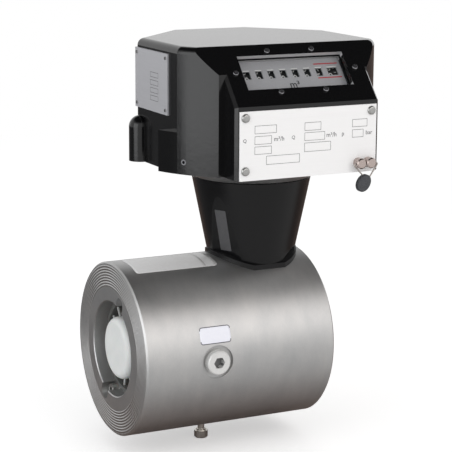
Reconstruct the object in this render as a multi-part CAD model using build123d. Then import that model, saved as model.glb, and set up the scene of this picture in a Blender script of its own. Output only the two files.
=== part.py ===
from build123d import *
import os
from math import acos, atan2, cos, degrees, pi, radians, sin, sqrt, tan

# A wafer turbine meter for gas in a DN50 pipe line. All lengths are millimetres, all angles degrees.
# Row frame: the gas flows along +X from the inlet face at X = 0, Z is up, and the name plate faces -Y.

# Pipe body
BODY_R = 51.0
BODY_L = 120.0
EDGE_CHAMFER = 1.0
BORE_R = 25.0
INSERT_R = 28.0
INLET_SEAT_X = 38.0
OUTLET_SEAT_X = 54.0
THROAT_GAP = 0.1
MOUTH_CHAMFER = 0.5
SLIP = 0.03

# Inlet pockets and their clamp screws
POCKET_R = 4.75
POCKET_PITCH_R = 30.4
POCKET_DEPTH = 8.0
POCKET_ANGLE = 22.0
CLAMP_THREAD_R = 2.0
CLAMP_THREAD_L = 10.0
CLAMP_HEAD_R = 3.5
CLAMP_HEAD_H = 4.0
CLAMP_HEX_R = 1.7
CLAMP_HEX_DEPTH = 2.0

# Inlet straightener
NOSE_R = 18.3
NOSE_X = 2.0
NOSE_EDGE_R = 4.0
NOSE_WALL = 2.3
VANE_COUNT = 16
VANE_T = 0.9
VANE_FRONT_GAP = 1.5
VANE_BACK_GAP = 1.0
VANE_ROOT = 0.8

# Turbine rotor
BLADE_COUNT = 12
BLADE_T = 1.0
BLADE_CHORD = 14.0
BLADE_ROOT_ANGLE = 36.0
TIP_GAP = 0.4
ROTOR_SIDE_GAP = 0.9
ROTOR_RIM_T = 1.6
ROTOR_WEB_T = 3.0
ROTOR_BOSS_R = 5.0

# Rotor shaft, its nut, its ball bearings
SHAFT_R = 2.5
SHAFT_FRONT_L = 5.0
NUT_H = 3.2
NUT_R = 4.0
BEARING_R = 6.5
BEARING_W = 4.0
INNER_RING_R = 3.8
RUN_GAP = 0.06
FRONT_BEARING_X = 54.6
REAR_BEARING_X = 71.0
BEARING_LIP_R = 5.2
PINION_SEAT_R = 1.6

# Outlet carrier and tail cone
RING_END_X = 112.0
HUB_END_X = 106.0
CHAMBER_X = 77.0
CHAMBER_R = 15.0
STRUT_COUNT = 5
STRUT_T = 2.4
STRUT_EDGE_R = 1.08
STRUT_X = 58.0
STRUT_L = 26.0
SLEEVE_R = 5.2
TAIL_L = 11.0
TAIL_TIP_R = 3.0
TAIL_SHOULDER_X = 6.82
TAIL_SHOULDER_R = 12.81
SPIGOT_L = 3.2
SPIGOT_T = 1.6
CLIP_W = 1.4
CLIP_BITE = 1.5
CLIP_LAND = 2.2
CLIP_GAP_ANGLE = 40.0

# Lower drive: pinion, crown wheel, upright shaft and bushes
DRIVE_MODULE = 0.8
PINION_TEETH = 10
PINION_FACE = 3.2
CROWN_TEETH = 26
CROWN_FACE = 2.4
CROWN_DISC_T = 2.0
CROWN_HUB_R = 3.6
CROWN_HUB_H = 2.4
CROWN_TOOTH_T = 0.95
TOOTH_ADDENDUM = 0.8
TOOTH_DEDENDUM = 1.0
PRESSURE_ANGLE = 20.0
BACKLASH = 0.15
FLANK_STEPS = 3
TOOTH_CLEARANCE = 0.25
DRIVE_R = 2.0
BUSH_R = 3.4
LOWER_BUSH_Z = 16.0
BUSH_FLANGE_R = 5.0
BUSH_FLANGE_H = 1.0

# Seat of the neck on the body
NECK_X = 90.2
SEAT_DEPTH = 4.0
SEAT_R = 22.0
SHAFT_HOLE_R = 6.5
ORING_R = 9.6
ORING_WIRE_R = 1.0
NECK_SCREW_PITCH_R = 15.5
NECK_SCREW_R = 2.0
NECK_SCREW_L = 14.0
NECK_SCREW_HEAD_R = 3.4
NECK_SCREW_HEAD_H = 3.6
NECK_SCREW_COUNT = 4

# Neck
NECK_H = 50.0
NECK_TOP_R = 35.45
NECK_TAPER = 0.2033
NECK_WALL = 4.0
NECK_FLOOR_LIFT = 7.0
FOOT_R = 27.3
FOOT_T = 2.6
FOOT_FLAT = 25.4
FOOT_GAP = 0.05
FACET_ANGLE = 208.0
FACET_DROP = 9.0
FACET_SLOPE = 0.26
SCOOP_ANGLE = 318.0
SCOOP_LIFT = 8.5
SCOOP_SLOPE = 0.62
LOCK_SCREW_R = 2.0
LOCK_SCREW_DROP = 7.0
LOCK_SCREW_HEX_R = 1.15
LOCK_SCREW_HEX_DEPTH = 2.5

# Magnetic coupling
MAGNET_CHAMFER = 0.51
MAGNET_R = 9.0
MAGNET_H = 7.0
CUP_R = 10.0
CUP_WALL = 1.5
CUP_H = 15.0
CUP_FLANGE_R = 20.0
CUP_FLANGE_T = 2.0
MAGNET_GAP = 1.2

# Head base
SPIGOT_R = 30.0
SPIGOT_DROP = 13.0
SPIGOT_WALL = 4.0
SPIGOT_RUN = 0.06
LOCK_GROOVE_DEPTH = 1.2
LOCK_GROOVE_H = 4.6
BASE_LIFT = 0.2
FUNNEL_TOP_R = 53.0
FUNNEL_WALL = 3.6
BASE_T = 3.0
BASE_TUBE_R = 8.0
BASE_TUBE_DROP = 7.0
BASE_TUBE_RISE = 19.0

# Head housing
HEAD_LIFT = 10.0
HEAD_H = 71.0
HEAD_WALL = 3.5
SLOPE_WALL = 3.0
LEFT_FLAT = 9.0
RIGHT_FLAT = 10.5
LEFT_R = 73.5
RIGHT_R = 71.0
BACK_Y = 60.0
BACK_HALF = 25.0
SIDE_BACK_Y = 20.0
BLOCK_HALF = 45.2
LEFT_END_HALF = 48.6
BLOCK_ROOT_Y = 40.0
BLOCK_LEAD = 5.0
TOP_EDGE_R = 4.0
CORNER_R = 3.0
BLOCK_BEVEL = 1.6
SLOPE_ANGLE = 49.2
EAR_BACK_Y = 22.0
EAR_H = 23.5
BOSS_R = 6.6
BOSS_Y = 16.0
BOSS_H = 20.0
SOCKET_R = 4.6
SOCKET_DEPTH = 9.0
SOCKET_CAP_HEX_R = 2.5
SOCKET_CAP_HEX_DEPTH = 3.0
FIXING_R = 5.5
FIXING_H = 16.0
FIXING_ANGLE = 38.0
FIXING_IN = 4.4
FIXING_REAR_IN = 1.65
FIXING_SCREW_R = 1.6
FIXING_SCREW_L = 9.0
FIXING_HEAD_R = 3.0
FIXING_HEAD_H = 2.0
SIDE_SCREW_ANGLE = 32.0
SIDE_SCREW_UP = 7.0
SIDE_SCREW_R = 1.6
SIDE_SCREW_L = 5.0
SIDE_SCREW_HEX_R = 0.9

# Counter: rollers, gears and frame
ROLLER_R = 9.3
ROLLER_COUNT = 8
ROLLER_PITCH = 7.62
FIRST_ROLLER_X = -28.1
ROLLER_W = 5.2
LAST_ROLLER_W = 7.4
LAST_ROLLER_X = 26.3
ROLLER_BORE_GAP = 0.05
ROLLER_LOCK_R = 6.2
ROLLER_LOCK_W = 0.9
AXLE_R = 1.5
TRANSFER_MODULE = 0.75
ROLLER_TEETH = 20
TRANSFER_TEETH = 8
TRANSFER_AXLE_R = 0.7
TRANSFER_ANGLE = -135.0
TRANSFER_GAP = 0.25
TRANSFER_BACKLASH = 0.2
TRANSFER_FLANK_STEPS = 2
TRAIN_MODULE = 0.7
UNIT_TEETH = 24
IDLER_TEETH = 22
CROSS_TEETH = 16
TRAIN_FACE = 2.6
TRAIN_SIDE_GAP = 0.5
TRAIN_ANGLE = 33.06
CROSS_UP = 31.7
CROSS_R = 1.5
WORM_MODULE = 0.8
WORM_R = 4.0
WHEEL_TEETH = 30
WHEEL_FACE = 2.2
WHEEL_BACKLASH = 0.5
WORM_TURNS = 4
WORM_TIP = 0.7
WORM_ROOT = 1.0
WORM_SINK = 0.4
FRAME_T = 1.5
FRAME_GAP = 1.0
FRAME_EDGE = 4.5
FRAME_BAR = 3.0
FRAME_FOOT_LOW_T = 10.0
FRAME_FOOT_TOP_T = 34.0
FRAME_BACK_RISE = 7.0
COLLAR_R = 2.5

# Window, dial and their frame
WINDOW_X = -0.66
WINDOW_T = 22.1
WINDOW_W = 66.6
WINDOW_H = 22.5
GLASS_T = 2.0
GLASS_LEDGE_X = 2.2
GLASS_LEDGE_T = 1.4
DIAL_DEPTH = 6.0
DIAL_T = 0.8
DIAL_GAP = 0.15
DIAL_LIP_T = 0.4
DIAL_LIP = 1.5
OPENING_W = 4.0
OPENING_H = 5.2
LAST_OPENING_W = 6.4
OPENING_SHIFT = 0.1
FRAME_RING_EDGE_X = 7.7
FRAME_RING_EDGE_T = 4.25
FRAME_RING_DEPTH = 7.5
ROLLER_LIP_GAP = 0.3
ROLLER_T = 24.3
WINDOW_SCREW_R = 1.0
WINDOW_SCREW_L = 6.0
WINDOW_SCREW_HEAD_R = 1.7
WINDOW_SCREW_HEAD_H = 1.1
WINDOW_SCREW_HEX_R = 0.9
WINDOW_SCREW_CLEAR = 0.5
WINDOW_SCREW_X = 14.1
WINDOW_SCREW_OUT_T = 2.45
WINDOW_SCREW_OUT_X = 4.4

# Name plate, side plate, their pins, the seal
NAME_W = 86.0
NAME_H = 38.2
NAME_UP = 18.8
PLATE_T = 0.8
RIVET_R = 2.5
RIVET_H = 1.3
RIVET_DOME_R = 1.105
RIVET_SHANK_R = 1.2
RIVET_SHANK_L = 2.5
RIVET_X = 39.6
RIVET_Z = 14.65
RIVET_LIFT = 0.9
SEAL_SCREW_R = 3.0
SEAL_SCREW_H = 5.0
SEAL_SCREW_X = 34.7
SEAL_SCREW_SPACING = 6.4
SEAL_SCREW_UP = 5.1
SEAL_HOLE_R = 0.5
SEAL_WIRE_R = 0.4
SEAL_HOLE_OUT = 3.2
SEAL_DROP = 8.6
SEAL_REACH = 2.2
SEAL_FOOT_HALF = 1.2
SEAL_BEND_R = 0.9
SEAL_R = 5.2
SEAL_HALF_W = 3.9
SEAL_EDGE_R = 0.72
SEAL_LONG = 4.6
SEAL_T = 3.6
SEAL_TILT = -32.0
SIDE_PLATE_Y = -1.6
SIDE_PLATE_UP = 48.6
SIDE_PLATE_W = 45.0
SIDE_PLATE_H = 34.5
SIDE_PIN_INSET = 2.6
SIDE_PIN_R = 0.9
SIDE_PIN_H = 0.6
SIDE_PIN_L = 2.0

# Pressure tapping on the front, screw under the body
TAP_X = 43.8
TAP_SPOT_R = 9.7
TAP_SPOT_DEPTH = 2.0
TAP_R = 5.6
TAP_DEPTH = 12.0
TAP_PORT_R = 2.0
PLUG_HEAD_R = 7.0
PLUG_HEAD_H = 3.4
PLUG_THREAD_L = 9.0
PLUG_HEX_R = 3.5
PLUG_HEX_DEPTH = 4.0
PLUG_SEAL_T = 1.0
PLUG_EDGE = 0.6
UNDER_X = 57.6
UNDER_R = 2.0
UNDER_GRIP = 8.0
UNDER_OUT = 6.4
UNDER_HEAD_R = 4.1
UNDER_HEAD_H = 4.4
UNDER_SLOT_W = 1.1
UNDER_SLOT_DEPTH = 1.4
UNDER_COLLAR_R = 2.9
UNDER_COLLAR_H = 1.0

# Worked out from the sizes above
FULL = 400.0
SEAT_Z = BODY_R - SEAT_DEPTH
NECK_FLOOR_Z = SEAT_Z + NECK_FLOOR_LIFT
SCOOP_TOP_Z = SEAT_Z + SCOOP_LIFT
NECK_TOP_Z = SEAT_Z + NECK_H
FACET_TOP_Z = NECK_TOP_Z - FACET_DROP
LOCK_SCREW_Z = NECK_TOP_Z - LOCK_SCREW_DROP
SPIGOT_Z = NECK_TOP_Z - SPIGOT_DROP
BASE_TUBE_Z = NECK_TOP_Z - BASE_TUBE_DROP
BASE_TUBE_TOP_Z = NECK_TOP_Z + BASE_TUBE_RISE
HEAD_Z = NECK_TOP_Z + HEAD_LIFT
HEAD_TOP_Z = HEAD_Z + HEAD_H
EAR_TOP_Z = HEAD_Z + EAR_H
BOSS_Z = HEAD_Z + BOSS_H
SIDE_SCREW_Z = HEAD_Z + SIDE_SCREW_UP
CROSS_Z = HEAD_Z + CROSS_UP
NAME_Z = HEAD_Z + NAME_UP
SEAL_SCREW_Z = HEAD_Z + SEAL_SCREW_UP
SIDE_PLATE_Z = HEAD_Z + SIDE_PLATE_UP
LEFT_W = LEFT_R - LEFT_FLAT
RIGHT_W = RIGHT_R - RIGHT_FLAT
WINDOW_SCREW_T = WINDOW_H / 2 + WINDOW_SCREW_OUT_T
WINDOW_SCREW_END_X = WINDOW_W / 2 + WINDOW_SCREW_OUT_X
PIN_PITCH_R = DRIVE_MODULE * PINION_TEETH / 2
CROWN_PITCH_R = DRIVE_MODULE * CROWN_TEETH / 2
CROWN_ROOT = PIN_PITCH_R + DRIVE_MODULE * TOOTH_ADDENDUM + TOOTH_CLEARANCE
PINION_X = NECK_X - CROWN_PITCH_R
ROTOR_X0 = INLET_SEAT_X + ROTOR_SIDE_GAP
ROTOR_X1 = OUTLET_SEAT_X - ROTOR_SIDE_GAP
DRIVE_TOP_Z = NECK_FLOOR_Z + CUP_H - MAGNET_GAP
HEAD_MAGNET_Z = NECK_FLOOR_Z + CUP_H + CUP_WALL + MAGNET_GAP
WHEEL_R = WORM_MODULE * WHEEL_TEETH / 2
CROSS_Y = -(WORM_R + WHEEL_R)
UNIT_R = TRAIN_MODULE * UNIT_TEETH / 2
IDLER_R = TRAIN_MODULE * IDLER_TEETH / 2
CROSS_GEAR_R = TRAIN_MODULE * CROSS_TEETH / 2
TRAIN_L = UNIT_R + 2 * IDLER_R + CROSS_GEAR_R
ROLLER_Y = CROSS_Y - TRAIN_L * cos(radians(TRAIN_ANGLE))
ROLLER_Z = CROSS_Z + TRAIN_L * sin(radians(TRAIN_ANGLE))
IDLER_Y = CROSS_Y - (CROSS_GEAR_R + IDLER_R) * cos(radians(TRAIN_ANGLE))
IDLER_Z = CROSS_Z + (CROSS_GEAR_R + IDLER_R) * sin(radians(TRAIN_ANGLE))
AXIS_DEPTH = DIAL_DEPTH + DIAL_T + DIAL_LIP_T + ROLLER_LIP_GAP + ROLLER_R
UP_Y = cos(radians(SLOPE_ANGLE))
UP_Z = sin(radians(SLOPE_ANGLE))
BEND_Y = ROLLER_Y - AXIS_DEPTH * UP_Z - ROLLER_T * UP_Y
BEND_Z = ROLLER_Z + AXIS_DEPTH * UP_Y - ROLLER_T * UP_Z
SLOPE = Plane(origin=(NECK_X, BEND_Y, BEND_Z), x_dir=(1, 0, 0), z_dir=(0, -UP_Z, UP_Y))
ROLLER_XS = [NECK_X + FIRST_ROLLER_X + k * ROLLER_PITCH for k in range(ROLLER_COUNT - 1)]
ROLLER_XS.append(NECK_X + LAST_ROLLER_X)
TRANSFER_L = TRANSFER_MODULE * (ROLLER_TEETH + TRANSFER_TEETH) / 2
TRANSFER_Y = ROLLER_Y + TRANSFER_L * cos(radians(TRANSFER_ANGLE))
TRANSFER_Z = ROLLER_Z + TRANSFER_L * sin(radians(TRANSFER_ANGLE))
TRAIN_X = ROLLER_XS[-1] + LAST_ROLLER_W / 2 + TRAIN_SIDE_GAP
FRAME_X = TRAIN_X + TRAIN_FACE + FRAME_GAP
FRAME_LEFT_X = 2 * NECK_X - FRAME_X
LOW = (Align.CENTER, Align.CENTER, Align.MIN)


def rod_x(radius, x0, x1, y=0.0, z=0.0):
    """Round bar along X."""
    return Pos(x0, y, z) * Rot(0, 90, 0) * Cylinder(radius, x1 - x0, align=LOW)


def rod_y(radius, y0, y1, x=0.0, z=0.0):
    """Round bar along Y, from the lower y0 to the higher y1."""
    return Pos(x, y1, z) * Rot(90, 0, 0) * Cylinder(radius, y1 - y0, align=LOW)


def rod_z(radius, z0, z1, x=0.0, y=0.0):
    """Round bar along Z."""
    return Pos(x, y, z0) * Cylinder(radius, z1 - z0, align=LOW)


def turned_x(*points):
    """Solid of revolution about the pipe axis, from points (x, radius)."""
    return revolve(make_face(Polyline(*points, close=True)), Axis.X)


def turned_z(*points):
    """Solid of revolution about the neck axis, from points (radius, z)."""
    profile = Plane.XZ * make_face(Polyline(*points, close=True))
    return Pos(NECK_X, 0, 0) * revolve(profile, Axis.Z)


def hexagon(radius, depth):
    """Hexagonal bar along Z, radius to its corners."""
    return extrude(RegularPolygon(radius, 6), depth)


def around_pipe(angle, shape):
    """The shape turned about the pipe axis."""
    return Rot(angle, 0, 0) * shape


def around_neck(angle, shape):
    """The shape, made beside the Z axis, turned and carried to the neck axis."""
    return Pos(NECK_X, 0, 0) * Rot(0, 0, angle) * shape


def tooth_half_angle(radius, teeth, module, backlash):
    """Half the angle that an involute tooth takes up at a radius, in radians."""
    pitch_r = module * teeth / 2
    angle = radians(PRESSURE_ANGLE)
    base_r = pitch_r * cos(angle)
    involute_pitch = tan(angle) - angle
    pressure = acos(min(1.0, base_r / radius))
    return (pi * module / 2 - backlash) / (2 * pitch_r) + involute_pitch - (tan(pressure) - pressure)


def gear_face(teeth, module, phase, backlash=BACKLASH, steps=FLANK_STEPS):
    """Outline of a spur gear with a tooth on the angle phase, its flanks cut into a few steps."""
    pitch_r = module * teeth / 2
    tip_r = pitch_r + TOOTH_ADDENDUM * module
    root_r = pitch_r - TOOTH_DEDENDUM * module
    radii = [root_r + (tip_r - root_r) * i / steps for i in range(steps + 1)]
    points = []
    for tooth in range(teeth):
        middle = radians(phase) + 2 * pi * tooth / teeth
        rising = [(r, middle - tooth_half_angle(r, teeth, module, backlash)) for r in radii]
        falling = [(r, 2 * middle - a) for r, a in reversed(rising)]
        points += [(r * cos(a), r * sin(a)) for r, a in rising + falling]
    return make_face(Polyline(*points, close=True))


def small_gear_face(teeth, phase):
    """Outline of one of the carry gears between the number rollers."""
    return gear_face(teeth, TRANSFER_MODULE, phase, TRANSFER_BACKLASH,
                     TRANSFER_FLANK_STEPS)


def gear_x(face, width, x0, y, z):
    """Gear of a given outline on an axis along X. The outline's angles count from +Y towards +Z."""
    return Pos(x0, y, z) * Plane.YZ.location * extrude(face, width)


def meter_body():
    """Turned body with its bores, face pockets, tapping, neck seat and tapped holes."""
    throat = BORE_R + THROAT_GAP
    clip_x = RING_END_X
    body = turned_x(
        (0, INSERT_R + MOUTH_CHAMFER), (0, BODY_R - EDGE_CHAMFER), (EDGE_CHAMFER, BODY_R),
        (BODY_L - EDGE_CHAMFER, BODY_R), (BODY_L, BODY_R - EDGE_CHAMFER),
        (BODY_L, INSERT_R + MOUTH_CHAMFER), (BODY_L - MOUTH_CHAMFER, INSERT_R),
        (clip_x + CLIP_W + 2 * SLIP, INSERT_R), (clip_x + CLIP_W + 2 * SLIP, INSERT_R + CLIP_BITE),
        (clip_x, INSERT_R + CLIP_BITE), (clip_x, INSERT_R),
        (OUTLET_SEAT_X, INSERT_R), (OUTLET_SEAT_X, throat), (INLET_SEAT_X, throat),
        (INLET_SEAT_X, INSERT_R), (MOUTH_CHAMFER, INSERT_R))
    for turn in (0, 180):
        pocket = rod_x(POCKET_R, -1, POCKET_DEPTH, 0, POCKET_PITCH_R)
        hole = rod_x(CLAMP_THREAD_R + SLIP, 0, POCKET_DEPTH + CLAMP_THREAD_L + 1, 0, POCKET_PITCH_R)
        body -= around_pipe(POCKET_ANGLE + turn, pocket)
        body -= around_pipe(POCKET_ANGLE + turn, hole)
    spot_y = -BODY_R + TAP_SPOT_DEPTH
    body -= rod_y(TAP_SPOT_R, -FULL, spot_y, TAP_X)
    body -= rod_y(TAP_R + SLIP, -FULL, spot_y + TAP_DEPTH, TAP_X)
    body -= rod_y(TAP_PORT_R, -FULL, -BORE_R + 1, TAP_X)
    body -= rod_z(SEAT_R, SEAT_Z, FULL, NECK_X)
    body -= rod_z(SHAFT_HOLE_R, 0, FULL, NECK_X)
    body -= turned_z((ORING_R - ORING_WIRE_R, SEAT_Z + 1), (ORING_R + ORING_WIRE_R, SEAT_Z + 1),
                     (ORING_R + ORING_WIRE_R, SEAT_Z - 2 * ORING_WIRE_R),
                     (ORING_R - ORING_WIRE_R, SEAT_Z - 2 * ORING_WIRE_R))
    for k in range(NECK_SCREW_COUNT):
        thread = rod_z(NECK_SCREW_R + SLIP, neck_screw_end_z() - 1, FULL, NECK_SCREW_PITCH_R)
        body -= around_neck(neck_screw_angle(k), thread)
    body -= rod_z(UNDER_R + SLIP, -FULL, -BODY_R + UNDER_GRIP + 1, UNDER_X)
    return body


def neck_screw_angle(k):
    return 360 * (k + 0.5) / NECK_SCREW_COUNT


def neck_screw_end_z():
    return NECK_FLOOR_Z + CUP_FLANGE_T - NECK_SCREW_L


def inlet_straightener():
    """White insert: a ring, radial vanes and the hollow round nose."""
    ring_r = INSERT_R - SLIP
    nose = turned_x((NOSE_X, 0), (NOSE_X, NOSE_R), (INLET_SEAT_X, NOSE_R), (INLET_SEAT_X, 0))
    nose = fillet(nose.faces().sort_by(Axis.X)[0].edges(), NOSE_EDGE_R)
    nose -= rod_x(NOSE_R - NOSE_WALL, NOSE_X + NOSE_EDGE_R, INLET_SEAT_X + 1)
    ring = rod_x(ring_r, POCKET_DEPTH, INLET_SEAT_X) - rod_x(BORE_R, 0, FULL)
    vane_x0 = POCKET_DEPTH + VANE_FRONT_GAP
    vane_x1 = INLET_SEAT_X - VANE_BACK_GAP
    height = BORE_R - NOSE_R + 2 * VANE_ROOT
    vane = Box(vane_x1 - vane_x0, VANE_T, height, align=LOW)
    vane = Pos((vane_x0 + vane_x1) / 2, 0, NOSE_R - VANE_ROOT) * vane
    vanes = [around_pipe(360 * (k + 0.5) / VANE_COUNT, vane) for k in range(VANE_COUNT)]
    return nose + ring + vanes


def clamp_screws():
    """Two hexagon socket screws that hold the straightener by its rim."""
    screw = rod_x(CLAMP_THREAD_R, POCKET_DEPTH, POCKET_DEPTH + CLAMP_THREAD_L, 0, POCKET_PITCH_R)
    screw += rod_x(CLAMP_HEAD_R, POCKET_DEPTH - CLAMP_HEAD_H, POCKET_DEPTH, 0, POCKET_PITCH_R)
    socket = Pos(POCKET_DEPTH - CLAMP_HEAD_H, 0, POCKET_PITCH_R) * Rot(0, 90, 0)
    screw -= socket * hexagon(CLAMP_HEX_R, CLAMP_HEX_DEPTH)
    return Compound([around_pipe(POCKET_ANGLE + turn, screw) for turn in (0, 180)])


def turbine_rotor():
    """Light alloy wheel whose blades twist so that the flow meets them alike from root to tip."""
    rim_r = NOSE_R
    hub = turned_x((ROTOR_X0, SHAFT_R + SLIP), (ROTOR_X0, rim_r), (ROTOR_X1, rim_r),
                   (ROTOR_X1, rim_r - ROTOR_RIM_T), (ROTOR_X0 + ROTOR_WEB_T, rim_r - ROTOR_RIM_T),
                   (ROTOR_X0 + ROTOR_WEB_T, ROTOR_BOSS_R), (ROTOR_X1, ROTOR_BOSS_R),
                   (ROTOR_X1, SHAFT_R + SLIP))
    tip_r = BORE_R - TIP_GAP
    middle_x = (ROTOR_X0 + ROTOR_X1) / 2
    helix = tan(radians(BLADE_ROOT_ANGLE)) / rim_r
    sections = []
    for radius in (rim_r - ROTOR_RIM_T / 2, (rim_r + tip_r) / 2, tip_r + BLADE_T):
        stagger = atan2(helix * radius, 1.0)
        plane = Plane(origin=(middle_x, 0, radius), x_dir=(cos(stagger), sin(stagger), 0), z_dir=(0, 0, 1))
        sections.append(plane * Rectangle(BLADE_CHORD, BLADE_T))
    blade = loft(sections)
    room = rod_x(tip_r, ROTOR_X0, ROTOR_X1) - rod_x(rim_r - ROTOR_RIM_T / 2, 0, FULL)
    blade = blade & room
    return hub + [around_pipe(360 * k / BLADE_COUNT, blade) for k in range(BLADE_COUNT)]


def rotor_shaft():
    """Shaft with the drive pinion cut at its end."""
    pinion_x = PINION_X - PINION_FACE / 2
    shaft = rod_x(SHAFT_R, ROTOR_X0 - SHAFT_FRONT_L, REAR_BEARING_X + BEARING_W + RUN_GAP)
    shaft += rod_x(PINION_SEAT_R, REAR_BEARING_X, pinion_x + PINION_FACE)
    return shaft + gear_x(gear_face(PINION_TEETH, DRIVE_MODULE, 90), PINION_FACE, pinion_x, 0, 0)


def rotor_nut():
    """Hexagon nut in front of the rotor, inside the hollow nose."""
    nut = Pos(ROTOR_X0 - NUT_H, 0, 0) * Rot(0, 90, 0) * hexagon(NUT_R, NUT_H)
    return nut - rod_x(SHAFT_R + SLIP, 0, FULL)


def bearing_xs():
    return (FRONT_BEARING_X, REAR_BEARING_X)


def bearing_shells():
    """Outer rings of the two ball bearings with their shields."""
    bore = INNER_RING_R + RUN_GAP
    shells = [rod_x(BEARING_R, x, x + BEARING_W) - rod_x(bore, 0, FULL) for x in bearing_xs()]
    return Compound(shells)


def bearing_inner_rings():
    """Inner rings of the two ball bearings, which turn with the shaft."""
    rings = [rod_x(INNER_RING_R, x, x + BEARING_W) - rod_x(SHAFT_R + SLIP, 0, FULL) for x in bearing_xs()]
    return Compound(rings)


def outlet_carrier():
    """Ring, struts and hollow hub behind the rotor, with the bearing seats and the shaft sleeve."""
    ring_r = INSERT_R - SLIP
    seat_r = BEARING_R + SLIP
    front_x1 = FRONT_BEARING_X + BEARING_W + SLIP
    rear_x0 = REAR_BEARING_X - SLIP
    hub = turned_x((OUTLET_SEAT_X, seat_r), (OUTLET_SEAT_X, NOSE_R), (HUB_END_X, NOSE_R),
                   (HUB_END_X, CHAMBER_R), (CHAMBER_X, CHAMBER_R), (CHAMBER_X, seat_r),
                   (rear_x0, seat_r), (rear_x0, BEARING_LIP_R), (front_x1, BEARING_LIP_R),
                   (front_x1, seat_r))
    ring = rod_x(ring_r, OUTLET_SEAT_X, RING_END_X) - rod_x(BORE_R, 0, FULL)
    reach = BORE_R - NOSE_R + 2 * VANE_ROOT
    strut = Pos(STRUT_X + STRUT_L / 2, 0, NOSE_R - VANE_ROOT) * Box(STRUT_L, STRUT_T, reach, align=LOW)
    strut = fillet(strut.edges().filter_by(Axis.Z), STRUT_EDGE_R)
    struts = [around_pipe(360 * (k + 0.5) / STRUT_COUNT, strut) for k in range(STRUT_COUNT)]
    sleeve = rod_z(SLEEVE_R, CHAMBER_R, BORE_R + VANE_ROOT, NECK_X) - rod_x(CHAMBER_R, 0, FULL)
    carrier = hub + ring + struts + sleeve
    return carrier - rod_z(BUSH_R + SLIP, 0, FULL, NECK_X)


def tail_cone():
    """Rounded tail that closes the gear chamber, with a spigot in the hub."""
    tip_x = HUB_END_X + TAIL_L
    outside = Line((HUB_END_X, 0), (HUB_END_X, NOSE_R))
    shoulder = (HUB_END_X + TAIL_SHOULDER_X, TAIL_SHOULDER_R)
    curve = ThreePointArc((HUB_END_X, NOSE_R), shoulder, (tip_x, TAIL_TIP_R))
    end = Polyline((tip_x, TAIL_TIP_R), (tip_x, 0), (HUB_END_X, 0))
    cone = revolve(make_face([outside, curve, end]), Axis.X)
    spigot_r = CHAMBER_R - SLIP
    spigot = rod_x(spigot_r, HUB_END_X - SPIGOT_L, HUB_END_X + 1)
    spigot -= rod_x(spigot_r - SPIGOT_T, 0, HUB_END_X)
    return cone + spigot


def retaining_ring():
    """Open spring ring in the outlet that holds the carrier."""
    clip = rod_x(INSERT_R + CLIP_BITE - SLIP, RING_END_X + SLIP, RING_END_X + SLIP + CLIP_W)
    clip -= rod_x(INSERT_R - CLIP_LAND, 0, FULL)
    half = radians(CLIP_GAP_ANGLE / 2)
    across, down = FULL * sin(half), -FULL * cos(half)
    wedge = Polyline((0, 0), (across, down), (-across, down), close=True)
    return clip - Plane.YZ.location * extrude(make_face(wedge), FULL)


def crown_wheel():
    """Crown wheel whose teeth face down to the pinion."""
    root_z = CROWN_ROOT
    tip_z = PIN_PITCH_R - TOOTH_ADDENDUM * DRIVE_MODULE
    outer = CROWN_PITCH_R + CROWN_FACE / 2
    disc_z = root_z + CROWN_DISC_T
    disc = rod_z(outer, root_z, disc_z) + rod_z(CROWN_HUB_R, root_z, disc_z + CROWN_HUB_H)
    slope = tan(radians(PRESSURE_ANGLE)) * (root_z - tip_z) / 2
    wide, narrow = CROWN_TOOTH_T / 2 + slope, CROWN_TOOTH_T / 2 - slope
    deep_z = root_z + CROWN_DISC_T / 2
    side = Polyline((-wide, deep_z), (-wide, root_z), (-narrow, tip_z), (narrow, tip_z),
                    (wide, root_z), (wide, deep_z), close=True)
    tooth = Plane.YZ.location * extrude(make_face(side), CROWN_FACE)
    tooth = Pos(CROWN_PITCH_R - CROWN_FACE / 2, 0, 0) * tooth
    tooth = tooth & rod_z(outer - SLIP, 0, FULL)
    step = 360 / CROWN_TEETH
    teeth = [Rot(0, 0, 180 + (k + 0.5) * step) * tooth for k in range(CROWN_TEETH)]
    wheel = disc + teeth - rod_z(DRIVE_R + SLIP, 0, FULL)
    return Pos(NECK_X, 0, 0) * wheel


def drive_shaft():
    """Upright shaft from the crown wheel to the driving magnet."""
    return rod_z(DRIVE_R, CROWN_ROOT, DRIVE_TOP_Z, NECK_X)


def drive_bushes():
    """Plain bushes in the carrier's sleeve and in the neck's floor."""
    lower = rod_z(BUSH_R, LOWER_BUSH_Z, INSERT_R, NECK_X)
    upper = rod_z(BUSH_R, SEAT_Z, NECK_FLOOR_Z, NECK_X)
    upper += rod_z(BUSH_FLANGE_R, NECK_FLOOR_Z, NECK_FLOOR_Z + BUSH_FLANGE_H, NECK_X)
    bore = rod_z(DRIVE_R + RUN_GAP, 0, FULL, NECK_X)
    return Compound([lower - bore, upper - bore])


def magnet(z0):
    disc = rod_z(MAGNET_R, z0, z0 + MAGNET_H, NECK_X)
    return chamfer(disc.edges(), MAGNET_CHAMFER) - rod_z(DRIVE_R + SLIP, 0, FULL, NECK_X)


def driving_magnet():
    """Magnet under the cup, on the drive shaft."""
    return magnet(DRIVE_TOP_Z - MAGNET_H)


def driven_magnet():
    """Magnet above the cup, on the worm shaft."""
    return magnet(HEAD_MAGNET_Z)


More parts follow.
